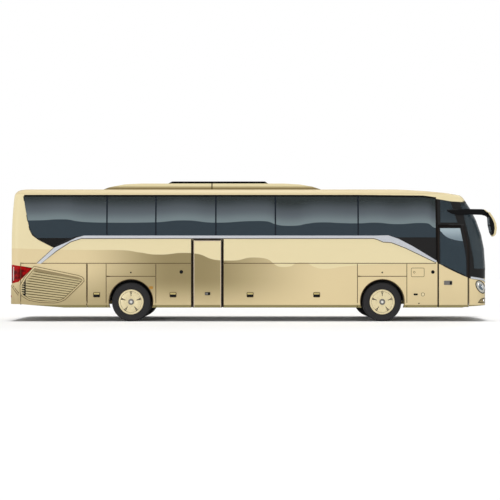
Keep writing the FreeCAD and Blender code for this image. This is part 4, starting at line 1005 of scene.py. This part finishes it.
# %% [markdown]
# ## Bands over the curved skin
# A band is a strip whose every point has its own direction of the surface, so it can lie across a rounded
# corner. Its line is divided every 6 cm, and each of these points is found by a ray.

# %% Bands


def band(name, spots, width, made, proud=0.002, deep=0.004, closed=False, **more):
    """A strip over a curved skin, through points with the surface's direction at each."""
    spots = [spot for spot in spots if spot]
    count, points = len(spots), []
    for k, (spot, normal) in enumerate(spots):
        before = spots[(k - 1) % count][0] if closed or k else spot
        after = spots[(k + 1) % count][0] if closed or k + 1 < count else spot
        across = (after - before).normalized().cross(normal).normalized() * (width / 2)
        for s in (1, -1):
            points += [spot + across * s + normal * proud, spot + across * s - normal * deep]
    return piece(name, points, bar_faces(count, closed), made, **more)


def side_band(name, line, width, made, side=-1, **more):
    """A band over one side, along a line of X and Z."""
    return band(name, [side_spot(x, z, side) for x, z in dense(line, 0.06)], width, made, **more)


def front_band(name, line, width, made, **more):
    """A band over the front, along a line of Y and Z."""
    return band(name, [front_spot(y, z) for y, z in dense(line, 0.06)], width, made, **more)


print("the skin lies at Y", round(side_spot(0.0, 3.0)[0].y, 3), "m beside a window")

# %% [markdown]
# ## Doors
# Both passenger doors are flush leaves in a thick black-brown frame. The middle one is solid and painted
# like the wall, the front one is glazed with its lower edge swept forward. Frames sit on the leaves, so they
# swing with them. A vinyl lining closes the rear side of the front stairwell, which shows once the front
# door is open.

# %% Door frames and handles
GLAZING = grained("glazing_black", colour(13, 10, 9), colour(18, 15, 13), 120.0, 0.5,
                  Specular_IOR_Level=0.06)
PALE_EDGE = grained("pale_edge", colour(222, 206, 182), colour(210, 194, 168), 60.0, 0.5,
                    Specular_IOR_Level=0.2)
LEAF_REAR, LEAF_FRONT, POST = MID_REAR + 0.014, MID_FRONT - 0.014, DOOR_REAR + 0.030
NOSE = [(5.920, 0.40), (5.920, 2.020), (5.880, 2.230), (5.790, 2.615)]
SWEEP = [(5.160, 1.578), (5.400, 1.455), (5.640, 1.340), (5.862, 1.240)]
DOOR_PLATES = [
    ("mid_door_handle", (-1.320, -1.170, 0.720, 0.806, 0.02), BLACK_PLASTIC, "mid_door", 0.010, 0.004),
    ("mid_door_grip", (-1.310, -1.235, 0.735, 0.792, 0.012), HUB_GREY, "mid_door", 0.016, 0.003),
    ("front_door_handle", (5.255, 5.480, 1.002, 1.118, 0.02), HUB_GREY, "front_door", 0.010, 0.004),
    ("front_door_lock", (5.415, 5.472, 1.014, 1.106, 0.014), BLACK_PLASTIC, "front_door", 0.016, 0.003)]
STAIRWELL = ((5.052, -1.190, 0.400), (5.066, -0.300, 1.600))


def door_frame(name, inset, foot, head, width, made, **more):
    """A band round the middle door's leaf: up its rear edge, along its head and down its front edge."""
    rear, front = LEAF_REAR + inset, LEAF_FRONT - inset
    line = [(rear, foot), (rear, head), (front, head), (front, foot)]
    side_band(name, line, width, made, body="mid_door", **more)


door_frame("mid_door_frame", 0.017, 0.392, 2.240, 0.034, DARK_SEAM, proud=0.003)
door_frame("mid_door_pale_edge", 0.043, 0.395, 2.214, 0.018, PALE_EDGE, slot="body_paint", proud=0.002)
for edge, x in (("rear", MID_REAR - 0.012), ("front", MID_FRONT + 0.012)):
    side_band(f"mid_door_jamb_{edge}", [(x, 0.395), (x, 2.262)], 0.024, DARK_SEAM, proud=0.002)
side_band("front_door_head", [(POST, 2.610), (DOOR_FRONT - 0.22, 2.610)], 0.090, GLAZING, body="front_door",
          proud=0.003)
side_band("front_door_post", [(POST, 0.40), (POST, 2.640)], 0.030, DARK_SEAM, body="front_door", proud=0.002)
side_band("front_door_nose", NOSE, 0.030, DARK_SEAM, body="front_door", proud=0.002)
side_band("front_door_sweep", SWEEP, 0.030, GLAZING, body="front_door", proud=0.003)
for name, sizes, made, body, proud, bevel in DOOR_PLATES:
    plate(name, rectangle(*sizes), made, body=body, proud=proud, bevel=bevel)
slab("stairwell_wall", *STAIRWELL, VINYL, 0.0, slot="floor_vinyl")
print("frames, posts and handles of both doors")

# %% [markdown]
# ## Lines round the panes and trims
# A black pillar closes the window band at its front. The panes end in a black edge under the roof and meet
# in fine slate joints, and each silver trim throws a thin shade on the paint below it. All of them are bands
# that lie a few millimetres proud of the skin, the same on both sides.

# %% Lines round the panes and trims
PANE_LINE = grained("pane_joint", colour(22, 28, 36), colour(28, 34, 42), 120.0, 0.5,
                    Specular_IOR_Level=0.06)
PANE_JOINTS = [AXLES["rear"] + shift for shift in (-0.666, 0.680, 2.332, 3.972)] + [AXLES["front"] - 0.661]
PANE_FOOT, PANE_TOP, PILLAR_X = 2.362, 3.440, 5.058
PANE_HEAD = [(-6.31, 3.462), (2.9, 3.462), (4.70, 3.442), (5.05, 3.394)]
TAIL_EDGE = [(-6.322, 3.425), (-6.27, 3.121), (-6.20, 2.760), (-6.14, 2.520), (-6.06, 2.370), (-5.90, 2.250),
             (-5.50, 2.045)]
TRIM_FOOT = [(-5.814, 1.606), (-5.396, 1.934), (-5.009, 2.185), (-4.716, 2.278), (3.326, 2.278),
             (3.418, 2.253), (3.583, 2.181), (3.811, 2.165), (4.193, 2.017), (4.598, 1.822), (5.034, 1.615)]
TRIM_REAR = [(-5.930, 1.610), (-5.468, 2.034)]
for side, word in WORDS.items():
    pillar = [(PILLAR_X, 1.66), (PILLAR_X, 3.36)]
    side_band(f"black_pillar_{word}", pillar, 0.052, GLAZING, side, proud=0.002)
    side_band(f"pane_edge_{word}", PANE_HEAD, 0.050, GLAZING, side, proud=0.002)
    for number, x in enumerate(PANE_JOINTS):
        joint = [(x, PANE_FOOT), (x, PANE_TOP)]
        side_band(f"pane_joint_{word}_{number}", joint, 0.040, PANE_LINE, side, proud=0.0015)
    side_band(f"tail_edge_{word}", TAIL_EDGE, 0.018, GLAZING, side, proud=0.002)
    side_band(f"trim_shade_{word}", TRIM_FOOT, 0.018, TRIM_SHADE, side, proud=0.003)
    side_band(f"trim_line_{word}", TRIM_REAR, 0.012, TRIM_SHADE, side, proud=0.003)
print(len(PANE_JOINTS), "joints between the panes of each side")

# %% [markdown]
# ## The clear eye of a head lamp
# Each front corner holds one tall lamp shell. Only a slanting eye in it is see-through, and the rest is
# painted like the body. The eye is an ellipse whose middle line leans with height, so the material works out
# how far a point lies from its middle: 1 is its edge. Both the colours and the alpha follow that number.

# %% Lamp shell
EYE_X, EYE_Z, EYE_ACROSS, EYE_ALONG, EYE_SLANT = 6.285, 0.945, 0.130, 0.165, 0.40
CLEAR = 0.62
LENS, tree, shader = material("lamp_shell", roughness=0.08, Alpha=CLEAR, IOR=1.5, Specular_IOR_Level=0.3)
x, y, z, point = place(tree)
above = maths(tree, "SUBTRACT", z, EYE_Z)
leaning = maths(tree, "MULTIPLY_ADD", above, EYE_SLANT, maths(tree, "SUBTRACT", x, EYE_X))
parts = [maths(tree, "DIVIDE", leaning, EYE_ACROSS), maths(tree, "DIVIDE", above, EYE_ALONG)]
squares = [maths(tree, "MULTIPLY", part, part) for part in parts]
reach = maths(tree, "SQRT", maths(tree, "ADD", *squares))
tone = mixed(tree, ramp(tree, reach, 0.46, 0.60), colour(118, 134, 146), colour(236, 234, 222))
tone = mixed(tree, ramp(tree, reach, 0.94, 1.00), tone, colour(60, 50, 42))
tone = mixed(tree, ramp(tree, reach, 1.06, 1.12), tone, SAND)
tree.links.new(tone, shader.inputs["Base Color"])
tree.links.new(ramp(tree, reach, 1.06, 1.12, CLEAR, 1.0), shader.inputs["Alpha"])
bumped(tree, shader, noise(tree, point, 18.0, 1.0), 0.05, 0.001)
dress(LENS, "headlamps")
print("an eye", 2 * EYE_ALONG, "m tall in each lamp shell")

# %% [markdown]
# ## Reflectors, lids and rims
# Three round reflectors sit side by side behind the shell, each a turned chrome bowl with a bulb. A bright
# lid lies above the lamp and a dark rim round its eye. The front corner is a quarter of an upright cylinder,
# so a point on it is found by its angle from straight ahead.

# %% Reflectors, lids and rims
BULB = grained("lamp_bulb", colour(246, 246, 240), colour(230, 230, 224), 40.0, 0.1)
CORNER_X, CORNER_Y, CORNER = 6.116, 0.935, 0.340
BOWL = [(-0.55, 0.0), (-0.52, 0.3), (-0.34, 0.72), (0.0, 1.0), (0.05, 1.06), (0.0, 1.12), (-0.3, 1.12)]
BULB_FORM = [(-0.5, 0.10), (-0.1, 0.16), (0.0, 0.10), (0.02, 0.0)]
FORWARD = Vector((0.5, 0, 0))
REFLECTORS = [(66, 1.010, 0.052), (42, 0.960, 0.062), (18, 0.930, 0.062)]
LID_START = [(5.990, 1.204), (6.030, 1.200), (6.075, 1.193)]
LID_CORNER = [(86, 1.184), (70, 1.172), (55, 1.156), (40, 1.136), (26, 1.114), (14, 1.094)]
RIM_STEPS, RIM_SIZE = 32, 1.05


def at_corner(turn, z, side, inward=0.0):
    """A point on the rounded front corner and its direction, by angle from straight ahead."""
    turn = math.radians(turn)
    out = Vector((math.cos(turn), side * math.sin(turn), 0))
    return Vector((CORNER_X, side * CORNER_Y, z)) + out * (CORNER - inward), out


def eye_edge(k, side):
    """A point just outside the lamp's eye and its direction, by its step round the eye."""
    turn = 2 * math.pi * k / RIM_STEPS
    across, rise = RIM_SIZE * math.cos(turn), RIM_SIZE * math.sin(turn)
    x = EYE_X + EYE_ACROSS * across - EYE_SLANT * EYE_ALONG * rise
    return at_corner(math.degrees(math.acos((x - CORNER_X) / CORNER)), EYE_Z + EYE_ALONG * rise, side)


def bowl(name, spot, out, radius):
    """A chrome reflector that looks out of the corner and forward, with its bulb."""
    for part, form, made, steps in ((name, BOWL, CHROME, 32), (f"{name}_bulb", BULB_FORM, BULB, 16)):
        rows = [(along * radius, across * radius) for along, across in form]
        spun(part, rows, spot, (out + FORWARD).normalized(), made, steps, slot="clear_lamp")


for side, word in WORDS.items():
    for number, (turn, z, radius) in enumerate(REFLECTORS):
        bowl(f"reflector_{word}_{number}", *at_corner(turn, z, side, 0.012), radius)
    lid = [side_spot(x, z, side) for x, z in LID_START] + [at_corner(turn, z, side) for turn, z in LID_CORNER]
    band(f"lamp_lid_{word}", lid, 0.052, SILVER, 0.006, 0.010, slot="silver_trim", smooth=True)
    band(f"lamp_lid_line_{word}", lid, 0.066, GLAZING, 0.004, 0.008)
    rim = [eye_edge(k, side) for k in range(RIM_STEPS)]
    band(f"lamp_rim_{word}", rim, 0.022, GLAZING, 0.004, 0.006, closed=True)
print(2 * len(REFLECTORS), "reflectors under two lids")

# %% [markdown]
# ## Fog lamps
# A small fog lamp sits low on each corner, on a paler panel in a dark recess. The recess follows the rounded
# corner and is given by its lower and upper edge at each angle, and the panel is the same form drawn in.

# %% Fog lamps
FOG_RECESS = [(18, 0.500, 0.640), (24, 0.499, 0.642), (30, 0.498, 0.644), (36, 0.497, 0.645),
              (42, 0.496, 0.643), (48, 0.496, 0.636), (54, 0.499, 0.628), (60, 0.502, 0.621),
              (66, 0.506, 0.594), (72, 0.510, 0.556), (78, 0.514, 0.518)]
FOG_PARTS = [("recess", GLAZING, 0.0, 0.003, FOG_RECESS), ("panel", BROW, 0.016, 0.0045, FOG_RECESS[1:-1])]
for side, word in WORDS.items():
    for part, made, inset, proud, rows in FOG_PARTS:
        points = []
        for turn, low, high in rows:
            for z in (low + inset, high - inset):
                spot, out = at_corner(turn, z, side)
                points += [spot + out * proud, spot - out * 0.010]
        piece(f"fog_{part}_{word}", points, bar_faces(len(rows)), made)
    bowl(f"fog_lamp_{word}", *at_corner(36, 0.570, side, -0.006), 0.042)
print("two fog lamps, each in its recess")

# %% [markdown]
# ## Front: windscreen surround, grille and plate
# A coach front is a wide bowed windscreen in a black surround, a slim grille and a blank number plate over
# the bumper. The photograph shows it only edge on, so its layout is that of such coaches.

# %% Front details
front_band("screen_foot", [(y / 10, 1.440) for y in range(-11, 12)], 0.075, GLAZING, proud=0.003)
front_band("screen_head", [(y / 100, 3.300) for y in range(-112, 113, 8)], 0.060, GLAZING, proud=0.003)
for number, (z, made) in enumerate(((1.300, CHROME), (1.245, BLACK_PLASTIC), (1.190, BLACK_PLASTIC))):
    slat = [(y / 10, z) for y in range(-6, 7)]
    front_band(f"front_slat_{number}", slat, 0.034, made, proud=0.008, bevel=0.003)
front_band("front_plate_holder", [(-0.27, 0.700), (0.27, 0.700)], 0.130, BLACK_PLASTIC, proud=0.006)
front_band("front_plate", [(-0.255, 0.700), (0.255, 0.700)], 0.108, HUB_WHITE, proud=0.010, bevel=0.002)
for number, z in enumerate((0.560, 0.510, 0.460)):
    bumper_slot = [(y / 10, z) for y in range(-7, 8)]
    front_band(f"bumper_slot_{number}", bumper_slot, 0.028, BLACK_PLASTIC, proud=0.003)
print("surround, grille, plate and bumper slots")

# %% [markdown]
# ## Wipers
# A wiper arm is a round bar that stands clear of the glass between its pivot and its blade. A curve with a
# round bevel draws such a bar from a few points, which rays at the windscreen give, and the blade is a band
# on the glass itself.

# %% Wipers
WIPER_FEET = {"right": -0.62, "left": 0.10}
WIPER_RUN, WIPER_LEAN, WIPER_FOOT, WIPER_STEPS = 0.80, 0.62, 1.475, 6
BLADE, BLADE_TURN = 0.42, 0.75


def rounded_bar(name, points, radius, made):
    """A bar of round section along a smooth line."""
    line = bpy.data.curves.new(name, "CURVE")
    line.dimensions, line.bevel_depth, line.bevel_resolution, line.resolution_u = "3D", radius, 2, 6
    spline = line.splines.new("NURBS")
    spline.points.add(len(points) - 1)
    for spot, end in zip(spline.points, points):
        spot.co = (*end, 1.0)
    spline.order_u, spline.use_endpoint_u = 3, True
    line.use_fill_caps = True
    line.materials.append(made)
    bar = bpy.data.objects.new(name, line)
    bpy.context.collection.objects.link(bar)
    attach(bar, "root")


for word, y in WIPER_FEET.items():
    rows = []
    for k in range(WIPER_STEPS + 1):
        across = y + WIPER_RUN * k / WIPER_STEPS * WIPER_LEAN
        spot, out = front_spot(across, WIPER_FOOT + 0.075 * k + 0.02 * math.sin(k))
        rows.append(spot + out * (0.030 if 0 < k < WIPER_STEPS else 0.018))
    rounded_bar(f"wiper_arm_{word}", rows, 0.008, BLACK_PLASTIC)
    tip, run, rise = rows[-1], BLADE * math.cos(BLADE_TURN), BLADE * math.sin(BLADE_TURN)
    blade = [front_spot(tip.y + run * s, tip.z + rise * s) for s in (-1, -0.6, -0.2, 0.2, 0.6, 1)]
    band(f"wiper_blade_{word}", blade, 0.012, BLACK_PLASTIC, 0.018, 0.000)
print(len(WIPER_FEET), "wipers")

# %% [markdown]
# ## Rear: louvres, reflectors and plate
# The engine lid carries two groups of louvres, which are short bars over a dark backing. They rise with the
# lid, and so do the blank number plate and the grip. A red reflector wraps each rounded corner of the
# bumper, and two diagonal lines run down the side beside it.

# %% Rear details
LID_X = -6.6835
LOUVRES, LOUVRE_FOOT, LOUVRE_STEP = 9, 1.645, 0.052
LOUVRE_FORM = ((0.000, 0.026), (0.014, 0.000), (0.014, -0.006), (0.000, 0.010))
LOUVRE_FACES = [(0, 1, 2, 3), (7, 6, 5, 4), (0, 4, 5, 1), (1, 5, 6, 2), (2, 6, 7, 3), (3, 7, 4, 0)]
for side, word in ((1, "left"), (-1, "right")):
    low, high = sorted((side * 0.10, side * 0.80))
    slab(f"louvre_back_{word}", (LID_X - 0.002, low, 1.62), (LID_X + 0.004, high, 2.10), BLACK_PLASTIC, 0.0,
         body="engine_lid")
    for k in range(LOUVRES):
        z = LOUVRE_FOOT + LOUVRE_STEP * k
        points = [(LID_X - out, y, z + up) for y in (low, high) for out, up in LOUVRE_FORM]
        piece(f"louvre_{word}_{k}", points, LOUVRE_FACES, PAINT, "engine_lid", "body_paint")
    corner = [rear_spot(side * y / 100, 0.685) for y in range(108, 120, 2)]
    band(f"rear_reflector_{word}", corner, 0.050, RED_LAMP, 0.003, 0.004, slot="red_lamp")
    for edge, shift in (("a", -0.030), ("b", 0.030)):
        flash = [(-6.640 + shift, 0.990), (-6.420 + shift, 0.720)]
        side_band(f"bumper_flash_{word}_{edge}", flash, 0.016, SEAM, side, proud=0.002)
    # The white band at the rear edge of each tail lamp is a painted highlight.
    side_band(f"lamp_glint_{word}", [(-6.585, 1.500), (-6.592, 1.120)], 0.022, HUB_WHITE, side, proud=0.002,
              slot="red_lamp")
slab("rear_plate_holder", (-6.6865, -0.28, 1.20), (-6.680, 0.28, 1.345), BLACK_PLASTIC, body="engine_lid")
slab("rear_plate", (-6.6900, -0.26, 1.215), (-6.684, 0.26, 1.330), HUB_WHITE, body="engine_lid")
slab("lid_grip", (-6.7000, -0.10, 1.090), (-6.682, 0.10, 1.120), BLACK_PLASTIC, body="engine_lid")
print(2 * LOUVRES, "louvres and a plate on the engine lid")

# %% [markdown]
# ## Mirrors and roof hatches
# Each mirror head is black behind and champagne ahead, which its own material draws. An upright glass and a
# wide-angle glass lie on its rear face as thin sheets, and an eight-sided moulding sheathes its arm. The
# roof carries two emergency hatches with rounded corners.

# %% Mirrors and hatches
GLASS = grained("mirror_glass", colour(200, 206, 210), colour(190, 196, 202), 6.0, 0.04, 1.0, 0.01)
TIP, SHEET = 6.7025, 0.002
GLASSES = {"glass": ((-0.208, 2.860), (-0.190, 2.655)), "wide_glass": ((-0.187, 2.625), (-0.150, 2.465))}
ARM_SLEEVE = [(5.342, 1.212, 3.044, 3.062), (5.490, 1.232, 2.958, 3.078), (5.700, 1.248, 2.930, 3.090),
              (6.000, 1.246, 2.940, 3.092), (6.300, 1.222, 2.930, 3.090), (6.400, 1.200, 2.905, 3.078),
              (6.480, 1.186, 2.860, 3.020)]
ROOF, HATCH_HALF = 3.6488, 0.36


def mirror_sheet(name, head, foot, y0, y1):
    """A thin sheet of mirror glass between two points of the head's outline, from side to side."""
    across = Vector((foot[1] - head[1], 0, head[0] - foot[0])).normalized() * SHEET
    points = []
    for x, z in (head, foot):
        for y in (y0, y1):
            points += [Vector((TIP + x, y, z)) + across, Vector((TIP + x, y, z)) - across]
    piece(name, points, bar_faces(2), GLASS, slot="silver_trim")


def arm_section(x, y, low, high, side):
    """Eight points round the mirror's arm, with cut corners."""
    cut = 0.2 * (high - low)
    section = ((-0.020, low), (-0.034, low + cut), (-0.034, high - cut), (-0.020, high), (0.020, high),
               (0.034, high - cut), (0.034, low + cut), (0.020, low))
    return [(x, side * (y + across), z) for across, z in section]


for side, word in WORDS.items():
    points = [spot for row in ARM_SLEEVE for spot in arm_section(*row, side)]
    faces = []
    for k in range(0, len(points) - 8, 8):
        faces += [(k + i, k + (i + 1) % 8, k + 8 + (i + 1) % 8, k + 8 + i) for i in range(8)]
    faces += [tuple(range(8)), tuple(range(len(points) - 1, len(points) - 9, -1))]
    piece(f"mirror_arm_{word}", points, faces, mirror_paint, bevel=0.004)
    y0, y1 = sorted((side * 1.048, side * 1.302))
    for part, (head, foot) in GLASSES.items():
        mirror_sheet(f"mirror_{part}_{word}", head, foot, y0 + 0.01, y1 - 0.01)
for number, x in enumerate((-5.10, 3.10)):
    low, high = (x - HATCH_HALF, -HATCH_HALF, ROOF - 0.004), (x + HATCH_HALF, HATCH_HALF, ROOF + 0.040)
    slab(f"roof_hatch_{number}", low, high, PLASTIC, 0.022, slot="grey_plastic")
print("mirror arms, four glasses and two hatches")

# %% [markdown]
# ## The floor
# A large pale floor takes the coach's shadow. It is close to white, with a hardly visible cloud in it, so
# that the ground reads as the floor of a studio.

# %% The floor
FLOOR_HALF = 60
floor_mesh = bpy.data.meshes.new("studio_floor")
corners = [(-FLOOR_HALF, -FLOOR_HALF, 0), (FLOOR_HALF, -FLOOR_HALF, 0), (FLOOR_HALF, FLOOR_HALF, 0),
           (-FLOOR_HALF, FLOOR_HALF, 0)]
floor_mesh.from_pydata(corners, [], [(0, 1, 2, 3)])
floor = bpy.data.objects.new("studio_floor", floor_mesh)
bpy.context.collection.objects.link(floor)
ground, tree, shader = material("studio_floor", roughness=0.95)
x, y, z, point = place(tree)
tree.links.new(mixed(tree, noise(tree, point, 0.6, 1.0), colour(250, 250, 250), colour(246, 246, 246)),
               shader.inputs["Base Color"])
floor_mesh.materials.append(ground)
print("a floor", 2 * FLOOR_HALF, "m wide")

# %% [markdown]
# ## A pale world
# The world has two jobs that want different strengths. It lights the coach weakly and evenly, and it is the
# white that the camera sees behind the coach and in its paint and glass. Light Path tells which kind of ray
# asks, and a mix picks one of the two backgrounds.

# %% A pale world
WORLD_LIGHT = 0.28
world = bpy.data.worlds.new("studio")
bpy.context.scene.world = world
world.use_nodes = True
sky = world.node_tree.nodes
light = sky["Background"]
shown = sky.new("ShaderNodeBackground")
blend = sky.new("ShaderNodeMixShader")
path = sky.new("ShaderNodeLightPath")
light.inputs[0].default_value, light.inputs[1].default_value = (1, 1, 1, 1), WORLD_LIGHT
shown.inputs[0].default_value, shown.inputs[1].default_value = (1, 1, 1, 1), 1.0
pale = path.outputs["Is Camera Ray"]
for ray in ("Is Glossy Ray", "Is Transmission Ray"):
    pale = maths(world.node_tree, "MAXIMUM", pale, path.outputs[ray])
world.node_tree.links.new(pale, blend.inputs[0])
world.node_tree.links.new(light.outputs[0], blend.inputs[1])
world.node_tree.links.new(shown.outputs[0], blend.inputs[2])
world.node_tree.links.new(blend.outputs[0], sky["World Output"].inputs[0])
print("a world that lights with strength", WORLD_LIGHT, "and looks white")

# %% [markdown]
# ## Four soft suns
# A sun lights the whole length of a long object alike, and a wide angle makes its shadow soft. The strongest
# stands overhead. The second shines low on the side that the photograph shows, a little from behind, a weak
# one fills from the front right, and the last lights the far side.

# %% Four soft suns


def sunlight(name, elevation, azimuth, strength, spread):
    """A soft sun, by its height over the horizon and its direction round the coach, in degrees."""
    made_light = bpy.data.lights.new(name, "SUN")
    made_light.energy, made_light.angle = strength, math.radians(spread)
    holder = bpy.data.objects.new(name, made_light)
    up, turn = math.radians(elevation), math.radians(azimuth)
    towards = Vector((-math.cos(up) * math.sin(turn), math.cos(up) * math.cos(turn), -math.sin(up)))
    holder.rotation_euler = towards.to_track_quat("-Z", "Y").to_euler()
    bpy.context.collection.objects.link(holder)


sunlight("overhead", 88.0, 0.0, 2.08, 10.0)
sunlight("front_light", 7.0, -34.0, 0.84, 14.0)
sunlight("fill_light", 9.0, 40.0, 0.26, 50.0)
sunlight("far_light", 40.0, 150.0, 0.45, 30.0)
print(len(bpy.data.lights), "suns")

# %% [markdown]
# ## The camera
# The photograph is taken from far away with a long lens, almost level with the waist of the coach, so its
# long side is hardly foreshortened. A small shift frames it, which keeps the camera level.

# %% The camera
CAMERA_PLACE, LENS_LENGTH, SHIFT = (-0.078, -28.275, 1.606), 70.7, 0.026
eye = bpy.data.cameras.new("camera")
eye.lens, eye.sensor_width, eye.shift_y = LENS_LENGTH, 36.0, SHIFT
eye.clip_end = 200.0
camera = bpy.data.objects.new("camera", eye)
camera.location = CAMERA_PLACE
camera.rotation_euler = (math.radians(90), 0, 0)
bpy.context.collection.objects.link(camera)
bpy.context.scene.camera = camera
bpy.context.scene.view_settings.view_transform = "Standard"
print("a lens of", LENS_LENGTH, "mm, seen from", round(-CAMERA_PLACE[1], 1), "m away")
